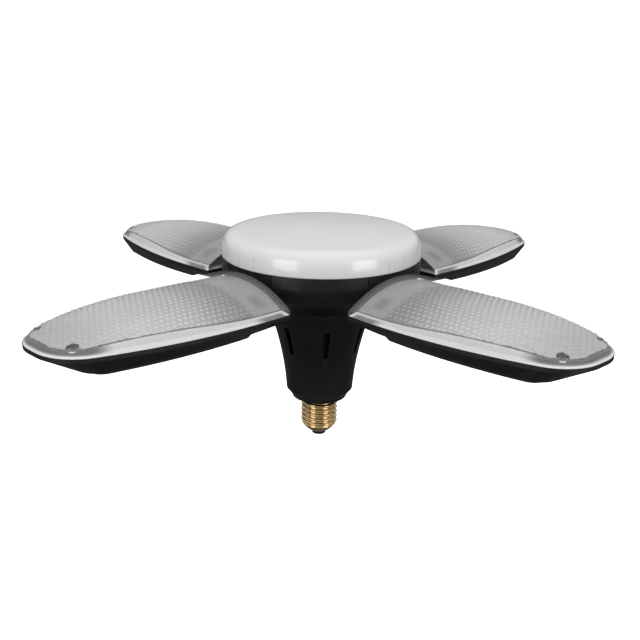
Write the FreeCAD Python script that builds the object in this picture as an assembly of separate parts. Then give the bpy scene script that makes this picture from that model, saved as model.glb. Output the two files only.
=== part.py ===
import FreeCAD, Part
import math
import os

# A foldable garage light with a screw cap. It stands cap down: the cap is at the bottom, the round centre
# lens looks up, and four leaves stand out flat at the height of the leaf seam, hinged to the hub.
# Millimetres, +Z up, origin on the axis in the plane where the cap meets the collar.
# Leaf 1 points along +X, leaf 2 along +Y, leaf 3 along -X and leaf 4 along -Y.

Vector = FreeCAD.Vector

# ---------------------------------------------------------------- driving dimensions

LEAF_COUNT = 4
RUNNING_CLEARANCE = 0.05
SEAT_CLEARANCE = 0.15
EDGE_TOLERANCE = 0.01

# heights above the cap's rim plane
LEAF_SEAM_HEIGHT = 90.1
HUB_RIM_ABOVE_SEAM = 20.0
HUB_WALL_HEIGHT = 8.0
SHOULDER_HEIGHT = 9.4

# screw cap, standard 26 mm thread with 7 turns to the inch
CAP_CREST_RADIUS = 13.1
CAP_ROOT_RADIUS = 12.25
CAP_WALL = 0.5
CAP_SKIRT = 5.2
THREAD_PITCH = 3.629
THREAD_TURNS = 4
CAP_TAPER_HEIGHT = 5.1
CAP_TAPER_RADIUS = 7.6
CAP_TAPER_BULGE = 0.4
INSULATOR_HEIGHT = 3.2
INSULATOR_RADIUS = 5.0
INSULATOR_BULGE = 0.45
CONTACT_RADIUS = 3.2
CONTACT_THICKNESS = 0.9
CONTACT_EDGE_BULGE = 0.15

# driver housing
CREASE_RADIUS = 39.5
HOUSING_WALL = 2.2
HOUSING_WAIST_HEIGHT = 40.1
HOUSING_WAIST_RADIUS = 28.6
SHOULDER_RADIUS = 24.2
SHOULDER_ROUND = 4.9
SHOULDER_BULGE = 0.15
SHELF_HEIGHT = 8.6
COLLAR_RADIUS = 19.8
COLLAR_STEP = 0.7
COLLAR_HEIGHT = 2.8
COLLAR_MOUTH_RADIUS = 14.2
COLLAR_BULGE = 0.4
COLLAR_WALL = 3.0
COLLAR_FLOOR = 3.0
SPIGOT_WALL = 1.2
SPIGOT_LENGTH = 6.0
VENT_COUNT = 7
VENT_ANGLE = 323.4
VENT_TOP_WIDTH = 5.2
VENT_BOTTOM_WIDTH = 3.4
VENT_TOP_BELOW_SEAM = 28.0
VENT_BOTTOM_BELOW_SEAM = 50.0

# screws in the hub: four in the flange, in line with the leaves, and four in the boards, between them
SCREW_COUNT = 4
FLANGE_SCREW_ANGLE = 0.0
BOARD_SCREW_ANGLE = 45.0

# hub shell
HUB_RADIUS = 70.0
HUB_WALL = 2.5
HUB_ROUND = 16.0
HUB_SLOPE = 60.0
FLAT_DEPTH = 3.7
FLANGE_WIDTH = 12.0
FLANGE_THICKNESS = 2.5
FLANGE_SCREW_INSET = 6.5
FLANGE_SCREW_RADIUS = 1.5
FLANGE_SCREW_HEAD_RADIUS = 2.9
FLANGE_SCREW_HEAD_HEIGHT = 2.0

# centre lens
CENTRE_LENS_WALL = 2.2
CENTRE_LENS_SIDE_HEIGHT = 9.0
CENTRE_LENS_DRAFT = 0.5
CENTRE_LENS_SHOULDER = 9.0
CENTRE_LENS_SHOULDER_RISE = 7.8
CENTRE_LENS_SHOULDER_BULGE = 2.2
CENTRE_LENS_CROWN_RISE = 1.7
CENTRE_LENS_FLAT_RADIUS = 6.0
CENTRE_LENS_LEDGE = 6.0

# centre light engine
HEAT_DISC_THICKNESS = 3.0
CENTRE_BOARD_THICKNESS = 1.6
CENTRE_BOARD_CLEARANCE = 3.8
CENTRE_LED_RING_INSETS = (46.0, 34.0, 22.0, 5.0)
CENTRE_LED_RING_COUNTS = (5, 10, 16, 24)
BOARD_SCREW_INSET = 13.5
BOARD_SCREW_RADIUS = 1.1
BOARD_SCREW_HEAD_RADIUS = 2.6
BOARD_SCREW_HEAD_HEIGHT = 1.7
BOARD_SCREW_BITE = 7.0
POST_RADIUS = 4.0
WIRE_HOLE_RADIUS = 4.0

# LED package
LED_LENGTH = 3.5
LED_WIDTH = 2.8
LED_THICKNESS = 0.8

# leaf outline
LEAF_GAP = 1.4
LEAF_LENGTH = 152.4
LEAF_WIDEST_FROM_END = 31.6
LEAF_HALF_WIDTH = 47.2
LEAF_SIDE_RADIUS = 344.0
LEAF_TIP_STRAIGHT = 4.2

# leaf lens
LEAF_LENS_WALL = 2.0
LEAF_LENS_ROUND = 1.5
DOME_CROWN = 18.2
DOME_FALL_LENGTH = 84.0
DOME_FALL = 12.0
DOME_INNER_SECTION_RADIUS = 79.0
DOME_OUTER_SECTION_RADIUS = 95.0
DOME_STATIONS = 8

# leaf tray
TRAY_WALL = 2.0
TRAY_LIP = 2.5
TRAY_INNER_DEPTH = 6.2
TRAY_TIP_DEPTH = 12.6
TRAY_SIDE_INSET = 5.0
TRAY_TIP_INSET = 20.0
TRAY_BOTTOM_CORNER_RADIUS = 16.0
TRAY_ROUND = 3.0
BOARD_LEDGE = 2.6

# raised plate under the tray
PLATE_START = 27.0
PLATE_TIP_INSET = 3.0
PLATE_SIDE_INSET = 1.5
PLATE_CHAMFER = 2.0
PLATE_INNER_PROUD = 3.3
PLATE_TIP_PROUD = 1.7
PLATE_CORNER_RADIUS = 12.0
PLATE_ROUND = 1.0
GROOVE_COUNT = 14
GROOVE_PITCH = 6.5
GROOVE_WIDTH = 3.0
GROOVE_DEPTH = 1.0
GROOVE_HALF_LENGTH = 20.0
GROOVE_START = 6.0

# leaf LED board
LEAF_BOARD_THICKNESS = 1.2
LEAF_BOARD_TIP_INSET = 23.5
LEAF_BOARD_CORNER_RADIUS = 12.0
LEAF_LED_ROWS = 12
LEAF_LED_COLUMNS = 6
LEAF_LED_MARGIN = 9.0

# tip screws
TIP_SCREW_INSET = 13.8
TIP_SCREW_SIDE_INSET = 8.1
TIP_BOSS_RADIUS = 3.2
TIP_SCREW_RADIUS = 1.25
TIP_SCREW_HEAD_RADIUS = 2.6
TIP_SCREW_HEAD_HEIGHT = 1.8
TIP_SCREW_LENGTH = 10.0
TIP_SCREW_BITE = 4.5
TIP_COLUMN_WALL = 1.6

# hinge
HINGE_INSET = 5.5
HINGE_BELOW_SEAM = 6.0
PIN_RADIUS = 2.0
PIN_HEAD_RADIUS = 3.6
PIN_HEAD_THICKNESS = 2.0
NUT_THICKNESS = 2.4
KNUCKLE_RADIUS = 4.2
KNUCKLE_HALF_WIDTH = 8.5
WASHER_RADIUS = 3.9
WASHER_THICKNESS = 0.6
WASHER_PLAY = 0.2
EAR_RADIUS = 5.0
EAR_THICKNESS = 5.0
SLOT_WIDTH = 0.8
SLOT_DEPTH = 0.8
ARM_LENGTH = 19.0
ARM_THICKNESS = 2.6
ARM_SCREW_SIDE = 5.0
ARM_SCREW_FROM_END = 5.0
ARM_SCREW_RADIUS = 1.4
ARM_SCREW_HEAD_RADIUS = 2.6
ARM_SCREW_HEAD_HEIGHT = 1.3
ARM_SLOT_DEPTH = 6.0

# driver
SLEEVE_RADIUS = 20.0
SLEEVE_WALL = 1.5
SLEEVE_TOP_ABOVE_CREASE = 12.0
DRIVER_BOARD_WIDTH = 32.0
DRIVER_BOARD_THICKNESS = 1.6
DRIVER_BOARD_BOTTOM = 9.1
DRIVER_BOARD_HEIGHT = 72.0
TRANSFORMER_SIZE = (13.0, 18.0, 16.0)
TRANSFORMER_PLACE = 36.0
TRANSFORMER_LIMB = 3.5
WINDING_GAP = 0.6
CAPACITOR_RADII = (5.0, 4.0)
CAPACITOR_LENGTHS = (12.0, 9.0)
CAPACITOR_PLACE = 14.0
CAPACITOR_GAP = 14.0
RECTIFIER_SIZE = (2.6, 6.5, 4.8)
RECTIFIER_PLACE = 20.0
FUSE_RADIUS = 1.8
FUSE_LENGTH = 9.0
FUSE_PLACE = 6.0
FUSE_SIDE = 9.0
WIRE_RADIUS = 0.8
WIRE_BEND = 4.0
LIVE_WIRE_SIDE = 7.0
NEUTRAL_WIRE_SIDE = 6.0
LEAD_SIDE = 8.0
LEAD_DRAW_IN = 10.0

# ---------------------------------------------------------------- worked-out places

FLAT_DISTANCE = HUB_RADIUS - FLAT_DEPTH
LENS_OPENING_RADIUS = HUB_RADIUS - CENTRE_LENS_WALL - CENTRE_LENS_LEDGE
CENTRE_BOARD_RADIUS = LENS_OPENING_RADIUS - CENTRE_BOARD_CLEARANCE
BOARD_SCREW_CIRCLE = CENTRE_BOARD_RADIUS - BOARD_SCREW_INSET
LEAF_INNER_DISTANCE = HUB_RADIUS + LEAF_GAP
LEAF_TIP_DISTANCE = LEAF_INNER_DISTANCE + LEAF_LENGTH
LEAF_WIDEST_DISTANCE = LEAF_INNER_DISTANCE + LEAF_WIDEST_FROM_END
TIP_SCREW_DISTANCE = LEAF_TIP_DISTANCE - TIP_SCREW_INSET

# the round that joins the leaf's side circle to the straight edge at its tip, and the screws beside it
TIP_REACH = LEAF_TIP_DISTANCE - LEAF_WIDEST_DISTANCE
STRAIGHT_REACH = LEAF_TIP_STRAIGHT + LEAF_SIDE_RADIUS - LEAF_HALF_WIDTH
LEAF_CORNER_RADIUS = (LEAF_SIDE_RADIUS ** 2 - TIP_REACH ** 2 - STRAIGHT_REACH ** 2) / (
    2 * (LEAF_SIDE_RADIUS - TIP_REACH))
CORNER_REACH = LEAF_CORNER_RADIUS - TIP_SCREW_INSET
TIP_SCREW_SIDE = LEAF_TIP_STRAIGHT - TIP_SCREW_SIDE_INSET + math.sqrt(
    LEAF_CORNER_RADIUS ** 2 - CORNER_REACH ** 2)

HINGE_DISTANCE = HUB_RADIUS - HINGE_INSET
SEAM = LEAF_SEAM_HEIGHT
HUB_RIM = SEAM + HUB_RIM_ABOVE_SEAM
HINGE_HEIGHT = SEAM - HINGE_BELOW_SEAM
ROUND_CENTRE_RADIUS = HUB_RADIUS - HUB_ROUND
ROUND_CENTRE_HEIGHT = HUB_RIM - HUB_WALL_HEIGHT
ROUND_TURN = math.radians(HUB_SLOPE)
SLOPE_RUN = ROUND_CENTRE_RADIUS + HUB_ROUND * math.cos(ROUND_TURN) - CREASE_RADIUS
CREASE = ROUND_CENTRE_HEIGHT - HUB_ROUND * math.sin(ROUND_TURN) - SLOPE_RUN / math.tan(ROUND_TURN)
CAP_THREAD_END = -(CAP_SKIRT + THREAD_TURNS * THREAD_PITCH)
CAP_TAPER_END = CAP_THREAD_END - CAP_TAPER_HEIGHT
INSULATOR_END = CAP_TAPER_END - INSULATOR_HEIGHT
CAP_TIP = INSULATOR_END - CONTACT_THICKNESS
HEAT_DISC_BOTTOM = HUB_RIM - HEAT_DISC_THICKNESS
BOARD_TOP = HUB_RIM + CENTRE_BOARD_THICKNESS
FLOOR_SLOPE = (TRAY_TIP_DEPTH - TRAY_INNER_DEPTH) / (
    LEAF_TIP_DISTANCE - TRAY_TIP_INSET - LEAF_INNER_DISTANCE)
EAR_INNER = KNUCKLE_HALF_WIDTH + WASHER_THICKNESS + WASHER_PLAY
EAR_OUTER = EAR_INNER + EAR_THICKNESS


# ---------------------------------------------------------------- drawing helpers

def bulged(start, end, bulge):
    """Middle point of an arc from start to end that stands off the chord by bulge, to its left."""
    across = end[0] - start[0]
    along = end[1] - start[1]
    length = math.hypot(across, along)
    middle_x = (start[0] + end[0]) / 2 - along / length * bulge
    middle_y = (start[1] + end[1]) / 2 + across / length * bulge
    return (middle_x, middle_y)


def profile(start, *steps):
    """Closed face in the XZ plane. A step is a point, or a pair of points: an arc's middle and its end."""
    edges = []
    here = start
    for step in steps + (start,):
        if isinstance(step[0], tuple):
            middle, there = step
            points = [Vector(p[0], 0, p[1]) for p in (here, middle, there)]
            edges.append(Part.Arc(*points).toShape())
        else:
            there = step
            edges.append(Part.makeLine(Vector(here[0], 0, here[1]), Vector(there[0], 0, there[1])))
        here = there
    return Part.Face(Part.Wire(edges))


def turned(start, *steps):
    """Solid turned about the Z axis from a radius and height profile."""
    face = profile(start, *steps)
    return face.revolve(Vector(0, 0, 0), Vector(0, 0, 1), 360)


def cylinder(radius, height, base, direction=Vector(0, 0, 1)):
    return Part.makeCylinder(radius, height, base, direction)


def block(x0, x1, y0, y1, z0, z1):
    return Part.makeBox(x1 - x0, y1 - y0, z1 - z0, Vector(x0, y0, z0))


def around(shape, angle):
    copy = shape.copy()
    copy.rotate(Vector(0, 0, 0), Vector(0, 0, 1), angle)
    return copy


def spread(shape, count, first_angle=0.0):
    """Copies of one shape evenly about the Z axis."""
    return [around(shape, first_angle + 360.0 * k / count) for k in range(count)]


def fused(shapes):
    result = shapes[0]
    if len(shapes) > 1:
        result = shapes[0].fuse(shapes[1:])
    return result.removeSplitter()


def edge_points(edge):
    middle = (edge.FirstParameter + edge.LastParameter) / 2
    return [edge.valueAt(at) for at in (edge.FirstParameter, middle, edge.LastParameter)]


def group(solids):
    return Part.makeCompound(solids)


def write(name, shape):
    shape.exportStep("parts/" + name + ".step")


# ---------------------------------------------------------------- screw cap

def cap_shell():
    """Thin brass cap: plain skirt, rounded thread turns, and a taper to the insulator."""
    outer = []
    height = -CAP_SKIRT
    for turn in range(THREAD_TURNS):
        middle = (CAP_CREST_RADIUS, height - THREAD_PITCH / 2)
        height -= THREAD_PITCH
        outer.append((middle, (CAP_ROOT_RADIUS, height)))
    inner_radius = CAP_ROOT_RADIUS - CAP_WALL
    taper_end = (CAP_TAPER_RADIUS, CAP_TAPER_END)
    taper_middle = bulged((CAP_ROOT_RADIUS, height), taper_end, -CAP_TAPER_BULGE)
    return turned(
        (CAP_ROOT_RADIUS, 0),
        (CAP_ROOT_RADIUS, -CAP_SKIRT),
        *outer,
        (taper_middle, taper_end),
        (CAP_TAPER_RADIUS - CAP_WALL, CAP_TAPER_END),
        (inner_radius, height),
        (inner_radius, 0))


def cap_insulator():
    """Black insulator that closes the cap's end, with a seat for the centre contact."""
    rim = (CAP_TAPER_RADIUS - CAP_WALL, CAP_TAPER_END)
    foot = (INSULATOR_RADIUS, INSULATOR_END)
    hole = WIRE_RADIUS + SEAT_CLEARANCE
    return turned(
        (hole, CAP_TAPER_END),
        rim,
        (bulged(rim, foot, -INSULATOR_BULGE), foot),
        (hole, INSULATOR_END))


def centre_contact():
    """Flat brass button with a rounded edge under the insulator."""
    rim = (CONTACT_RADIUS, INSULATOR_END)
    foot = (CONTACT_RADIUS - CONTACT_THICKNESS / 2, CAP_TIP)
    return turned(
        (0, INSULATOR_END),
        rim,
        (bulged(rim, foot, -CONTACT_EDGE_BULGE), foot),
        (0, CAP_TIP))


# ---------------------------------------------------------------- driver housing and hub

def housing_outline(inset):
    """Steps of the housing's outer side from the crease down to the shoulder, moved in by inset."""
    top = (CREASE_RADIUS - inset, CREASE)
    waist = (HOUSING_WAIST_RADIUS - inset, HOUSING_WAIST_HEIGHT)
    bottom = (SHOULDER_RADIUS - inset, SHOULDER_HEIGHT)
    return top, waist, bottom


def vent_cutter():
    """Upright slot, rounded at both ends and narrower at the bottom, reaching out along +X."""
    top = SEAM - VENT_TOP_BELOW_SEAM
    bottom = SEAM - VENT_BOTTOM_BELOW_SEAM
    top_radius = VENT_TOP_WIDTH / 2
    bottom_radius = VENT_BOTTOM_WIDTH / 2
    start = SLEEVE_RADIUS + 1
    reach = CREASE_RADIUS - start
    top_round = cylinder(top_radius, reach, Vector(start, 0, top - top_radius), Vector(1, 0, 0))
    bottom_round = cylinder(bottom_radius, reach, Vector(start, 0, bottom + bottom_radius), Vector(1, 0, 0))
    corners = [
        Vector(start, -top_radius, top - top_radius),
        Vector(start, top_radius, top - top_radius),
        Vector(start, bottom_radius, bottom + bottom_radius),
        Vector(start, -bottom_radius, bottom + bottom_radius),
        Vector(start, -top_radius, top - top_radius)]
    middle = Part.Face(Part.makePolygon(corners)).extrude(Vector(reach, 0, 0))
    return fused([middle, top_round, bottom_round])


def flange_screw_circle():
    return CREASE_RADIUS - FLANGE_SCREW_INSET


def driver_housing():
    """Black tapered shell with a flange at the crease, vents, shoulder and collar."""
    top, waist, bottom = housing_outline(0)
    shoulder_end = (COLLAR_RADIUS + COLLAR_STEP, SHOULDER_HEIGHT - SHOULDER_ROUND)
    collar_top = (COLLAR_RADIUS, COLLAR_HEIGHT)
    collar_mouth = (COLLAR_MOUTH_RADIUS, 0)
    spigot_radius = CAP_ROOT_RADIUS - CAP_WALL - SEAT_CLEARANCE
    outer = turned(
        (0, CREASE),
        top,
        (waist, bottom),
        (bulged(bottom, shoulder_end, -SHOULDER_BULGE), shoulder_end),
        collar_top,
        (bulged(collar_top, collar_mouth, -COLLAR_BULGE), collar_mouth),
        (spigot_radius, 0),
        (spigot_radius, -SPIGOT_LENGTH),
        (0, -SPIGOT_LENGTH))
    inner_top, inner_waist, inner_bottom = housing_outline(HOUSING_WALL)
    under_flange = CREASE - FLANGE_THICKNESS
    share = FLANGE_THICKNESS / (CREASE - HOUSING_WAIST_HEIGHT)
    flange_radius = inner_top[0] - (inner_top[0] - inner_waist[0]) * share
    cavity = turned(
        (0, under_flange),
        (flange_radius, under_flange),
        (inner_waist, inner_bottom),
        (inner_bottom[0], SHELF_HEIGHT),
        (COLLAR_RADIUS - COLLAR_WALL, SHELF_HEIGHT),
        (COLLAR_RADIUS - COLLAR_WALL, COLLAR_FLOOR),
        (0, COLLAR_FLOOR))
    mouth = cylinder(spigot_radius - SPIGOT_WALL, 3 * SPIGOT_LENGTH, Vector(0, 0, -2 * SPIGOT_LENGTH))
    throat = cylinder(CREASE_RADIUS - FLANGE_WIDTH, FLANGE_THICKNESS, Vector(0, 0, under_flange))
    screw_hole = cylinder(FLANGE_SCREW_RADIUS, FLANGE_THICKNESS,
                          Vector(flange_screw_circle(), 0, under_flange))
    cutters = [cavity, mouth, throat]
    cutters += spread(screw_hole, SCREW_COUNT, FLANGE_SCREW_ANGLE)
    cutters += spread(vent_cutter(), VENT_COUNT, VENT_ANGLE)
    return outer.cut(cutters)


def bowl(inset, rim):
    """Solid bowl of the hub: upright wall, round, and slope to the crease, moved in by inset."""
    radius = HUB_ROUND - inset

    def on_round(angle):
        out = radius * math.cos(angle)
        down = radius * math.sin(angle)
        return (ROUND_CENTRE_RADIUS + out, ROUND_CENTRE_HEIGHT - down)

    middle = on_round(ROUND_TURN / 2)
    end = on_round(ROUND_TURN)
    floor = CREASE + inset
    foot = (end[0] - (end[1] - floor) * math.tan(ROUND_TURN), floor)
    return turned(
        (0, rim),
        (HUB_RADIUS - inset, rim),
        (HUB_RADIUS - inset, ROUND_CENTRE_HEIGHT),
        (middle, end),
        foot,
        (0, floor))


def flatted(solid, distance):
    """The solid with a flat at each leaf, at the given distance from the axis."""
    size = 4 * HUB_RADIUS
    square = block(-distance, distance, -distance, distance, -size, size)
    return solid.common(square)


def hinge_ear(side):
    """Ear for the +X leaf's pin: an eye about the pin and a web that ends in the bowl's wall."""
    low = min(side * EAR_INNER, side * EAR_OUTER)
    pin = Vector(HINGE_DISTANCE, low, HINGE_HEIGHT)
    towards_bowl = Vector(ROUND_CENTRE_RADIUS, low, ROUND_CENTRE_HEIGHT) - pin
    reach = towards_bowl.Length - HUB_ROUND + HUB_WALL * 3 / 4
    eye = cylinder(EAR_RADIUS, EAR_THICKNESS, pin, Vector(0, 1, 0))
    web = block(-EAR_RADIUS, EAR_RADIUS, 0, EAR_THICKNESS, 0, reach)
    lean = math.degrees(math.atan2(towards_bowl.x, towards_bowl.z))
    web.rotate(Vector(0, 0, 0), Vector(0, 1, 0), lean)
    web.translate(pin)
    return fused([eye, web])


def hub_shell():
    """Black bowl under the centre lens, with flats, inner flange, posts for the heat disc and hinge ears."""
    outer = flatted(bowl(0, HUB_RIM), FLAT_DISTANCE)
    inner = flatted(bowl(HUB_WALL, HUB_RIM + 1), FLAT_DISTANCE - HUB_WALL)
    shell = outer.cut(inner)
    throat = cylinder(CREASE_RADIUS - FLANGE_WIDTH, 2 * FLANGE_THICKNESS, Vector(0, 0, CREASE - 1))
    post = cylinder(POST_RADIUS, HEAT_DISC_BOTTOM - CREASE, Vector(BOARD_SCREW_CIRCLE, 0, CREASE))
    posts = [p.common(outer) for p in spread(post, SCREW_COUNT, BOARD_SCREW_ANGLE)]
    ears = []
    for side in (-1, 1):
        ears += spread(hinge_ear(side), LEAF_COUNT)
    body = fused([shell] + posts + ears)
    hole_foot = HEAT_DISC_BOTTOM - BOARD_SCREW_BITE - 1
    screw_hole = cylinder(BOARD_SCREW_RADIUS, BOARD_SCREW_BITE + 1, Vector(BOARD_SCREW_CIRCLE, 0, hole_foot))
    flange_hole = cylinder(FLANGE_SCREW_RADIUS + SEAT_CLEARANCE, 2 * FLANGE_THICKNESS,
                           Vector(flange_screw_circle(), 0, CREASE - 1))
    pin_hole = cylinder(PIN_RADIUS + RUNNING_CLEARANCE, 4 * EAR_OUTER,
                        Vector(HINGE_DISTANCE, -2 * EAR_OUTER, HINGE_HEIGHT), Vector(0, 1, 0))
    cutters = [throat]
    cutters += spread(screw_hole, SCREW_COUNT, BOARD_SCREW_ANGLE)
    cutters += spread(flange_hole, SCREW_COUNT, FLANGE_SCREW_ANGLE)
    cutters += spread(pin_hole, LEAF_COUNT)
    return body.cut(cutters)


def pan_screw(radius, length, head_radius, head_height):
    """Screw standing on the origin: shank down along -Z, domed head up, with a cross recess."""
    edge = (head_radius, head_height / 2)
    top = (head_radius / 4, head_height)
    head_and_shank = turned(
        (0, -length),
        (radius / 2, -length),
        (radius, -length + radius),
        (radius, 0),
        (head_radius, 0),
        edge,
        (bulged(edge, top, -head_height / 8), top),
        (0, head_height))
    arm = head_radius / 2
    thin = head_radius / 8
    deep = head_height / 2
    cross = [
        block(-arm, arm, -thin, thin, deep, head_height + 1),
        block(-thin, thin, -arm, arm, deep, head_height + 1)]
    return head_and_shank.cut(cross)


def hub_screws():
    """Screws through the hub's flange into the housing's flange."""
    screw = pan_screw(FLANGE_SCREW_RADIUS, HUB_WALL + FLANGE_THICKNESS,
                      FLANGE_SCREW_HEAD_RADIUS, FLANGE_SCREW_HEAD_HEIGHT)
    screw.translate(Vector(flange_screw_circle(), 0, CREASE + HUB_WALL))
    return group(spread(screw, SCREW_COUNT, FLANGE_SCREW_ANGLE))


# ---------------------------------------------------------------- centre light

def lens_dome(inset, foot):
    """Solid under the centre lens's outer surface, moved in by inset, standing at the height foot."""
    base = HUB_RADIUS - inset
    side_top = (HUB_RADIUS - CENTRE_LENS_DRAFT - inset, HUB_RIM + CENTRE_LENS_SIDE_HEIGHT)
    crown_edge_z = HUB_RIM + CENTRE_LENS_SIDE_HEIGHT + CENTRE_LENS_SHOULDER_RISE - inset
    crown_edge = (HUB_RADIUS - CENTRE_LENS_DRAFT - CENTRE_LENS_SHOULDER, crown_edge_z)
    crown_height = crown_edge_z + CENTRE_LENS_CROWN_RISE
    flat_edge = (CENTRE_LENS_FLAT_RADIUS, crown_height)
    return turned(
        (0, foot),
        (base, foot),
        side_top,
        (bulged(side_top, crown_edge, -CENTRE_LENS_SHOULDER_BULGE), crown_edge),
        (bulged(crown_edge, flat_edge, -CENTRE_LENS_CROWN_RISE / 4), flat_edge),
        (0, crown_height))


def centre_lens():
    """Frosted cover: a shell with an inward ledge that rests on the hub's rim."""
    outer = lens_dome(0, HUB_RIM)
    inner = lens_dome(CENTRE_LENS_WALL, HUB_RIM + CENTRE_LENS_WALL)
    opening = cylinder(LENS_OPENING_RADIUS, 3 * CENTRE_LENS_WALL, Vector(0, 0, HUB_RIM - CENTRE_LENS_WALL))
    return outer.cut([inner, opening])


def heat_disc_radius():
    return FLAT_DISTANCE - HUB_WALL - SEAT_CLEARANCE


def heat_disc():
    """Aluminium disc on the hub's posts that carries the centre LED board."""
    disc = cylinder(heat_disc_radius(), HEAT_DISC_THICKNESS, Vector(0, 0, HEAT_DISC_BOTTOM))
    wire_hole = cylinder(WIRE_HOLE_RADIUS, HEAT_DISC_THICKNESS, Vector(0, 0, HEAT_DISC_BOTTOM))
    return disc.cut(board_screw_holes(HEAT_DISC_BOTTOM, HEAT_DISC_THICKNESS) + [wire_hole])


def board_screw_holes(height, depth):
    hole = cylinder(BOARD_SCREW_RADIUS + SEAT_CLEARANCE, depth, Vector(BOARD_SCREW_CIRCLE, 0, height))
    return spread(hole, SCREW_COUNT, BOARD_SCREW_ANGLE)


def centre_led_board():
    board = cylinder(CENTRE_BOARD_RADIUS, CENTRE_BOARD_THICKNESS, Vector(0, 0, HUB_RIM))
    return board.cut(board_screw_holes(HUB_RIM, CENTRE_BOARD_THICKNESS))


def led_package():
    """One LED package standing on the origin."""
    return block(-LED_LENGTH / 2, LED_LENGTH / 2, -LED_WIDTH / 2, LED_WIDTH / 2, 0, LED_THICKNESS)


def centre_leds():
    leds = []
    for ring_inset, count in zip(CENTRE_LED_RING_INSETS, CENTRE_LED_RING_COUNTS):
        led = led_package()
        led.translate(Vector(CENTRE_BOARD_RADIUS - ring_inset, 0, BOARD_TOP))
        leds += spread(led, count, 3 * ring_inset)
    return group(leds)


def board_screws():
    stack = CENTRE_BOARD_THICKNESS + HEAT_DISC_THICKNESS
    screw = pan_screw(BOARD_SCREW_RADIUS, stack + BOARD_SCREW_BITE,
                      BOARD_SCREW_HEAD_RADIUS, BOARD_SCREW_HEAD_HEIGHT)
    screw.translate(Vector(BOARD_SCREW_CIRCLE, 0, BOARD_TOP))
    return group(spread(screw, SCREW_COUNT, BOARD_SCREW_ANGLE))


# ---------------------------------------------------------------- driver

def driver_sleeve():
    """Insulating tube round the driver, standing on the housing's shelf."""
    top = CREASE + SLEEVE_TOP_ABOVE_CREASE
    foot = SHELF_HEIGHT
    outer = cylinder(SLEEVE_RADIUS, top - foot, Vector(0, 0, foot))
    inner = cylinder(SLEEVE_RADIUS - SLEEVE_WALL, top - foot, Vector(0, 0, foot))
    return outer.cut(inner)


def driver_board():
    half = DRIVER_BOARD_WIDTH / 2
    thick = DRIVER_BOARD_THICKNESS
    top = DRIVER_BOARD_BOTTOM + DRIVER_BOARD_HEIGHT
    return block(-thick / 2, thick / 2, -half, half, DRIVER_BOARD_BOTTOM, top)


def transformer():
    """Ferrite core round a wound bobbin, on the board's +X face."""
    depth, width, height = TRANSFORMER_SIZE
    face = DRIVER_BOARD_THICKNESS / 2
    low = DRIVER_BOARD_BOTTOM + TRANSFORMER_PLACE
    side = width / 2 - TRANSFORMER_LIMB
    window_low = low + TRANSFORMER_LIMB
    window_high = low + height - TRANSFORMER_LIMB
    core = block(face, face + depth, -width / 2, width / 2, low, low + height)
    window = block(face - 1, face + depth + 1, -side, side, window_low, window_high)
    bobbin = cylinder(side - WINDING_GAP, window_high - window_low, Vector(face + depth / 2, 0, window_low))
    return fused([core.cut(window), bobbin])


def capacitors():
    """Electrolytic cans lying against the board's -X face, one above the other."""
    cans = []
    base = DRIVER_BOARD_BOTTOM + CAPACITOR_PLACE
    for radius, length in zip(CAPACITOR_RADII, CAPACITOR_LENGTHS):
        centre = -DRIVER_BOARD_THICKNESS / 2 - radius
        bevel = radius / 10
        can = turned(
            (0, 0),
            (radius, 0),
            (radius, length - bevel),
            (radius - bevel, length),
            (0, length))
        can.translate(Vector(centre, 0, base))
        cans.append(can)
        base += length + CAPACITOR_GAP
    return group(cans)


def rectifier():
    thick, width, height = RECTIFIER_SIZE
    face = DRIVER_BOARD_THICKNESS / 2
    low = DRIVER_BOARD_BOTTOM + RECTIFIER_PLACE
    return block(face, face + thick, -width / 2, width / 2, low, low + height)


def fuse():
    face = DRIVER_BOARD_THICKNESS / 2
    base = Vector(face + FUSE_RADIUS, -FUSE_SIDE, DRIVER_BOARD_BOTTOM + FUSE_PLACE)
    return cylinder(FUSE_RADIUS, FUSE_LENGTH, base)


def wire(points):
    """Round wire along straight runs joined by tangent arcs."""
    path = [Vector(*p) for p in points]
    edges = []
    here = path[0]
    for before, corner, after in zip(path, path[1:], path[2:]):
        incoming = (corner - before).normalize()
        outgoing = (after - corner).normalize()
        turn = incoming.getAngle(outgoing)
        back = WIRE_BEND * math.tan(turn / 2)
        first = corner - incoming * back
        last = corner + outgoing * back
        inward = (outgoing - incoming).normalize()
        middle = corner + inward * (WIRE_BEND / math.cos(turn / 2) - WIRE_BEND)
        edges.append(Part.makeLine(here, first))
        edges.append(Part.Arc(first, middle, last).toShape())
        here = last
    edges.append(Part.makeLine(here, path[-1]))
    start_direction = (path[1] - path[0]).normalize()
    ring = Part.Wire(Part.makeCircle(WIRE_RADIUS, path[0], start_direction))
    return Part.Wire(edges).makePipeShell([ring], True, False)


def live_wire():
    """From the driver board's lower edge down through the insulator to the centre contact."""
    return wire([
        (0, LIVE_WIRE_SIDE, DRIVER_BOARD_BOTTOM),
        (0, LIVE_WIRE_SIDE, 0),
        (0, 0, -LIVE_WIRE_SIDE),
        (0, 0, INSULATOR_END)])


def neutral_wire():
    """From the driver board's lower edge, through the spigot, to the inside of the cap's wall."""
    contact = CAP_ROOT_RADIUS - CAP_WALL - WIRE_RADIUS
    below = -SPIGOT_LENGTH - WIRE_BEND
    return wire([
        (0, -NEUTRAL_WIRE_SIDE, DRIVER_BOARD_BOTTOM),
        (0, -NEUTRAL_WIRE_SIDE, -SPIGOT_LENGTH),
        (0, -contact, below),
        (0, -contact, below - WIRE_BEND)])


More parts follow.
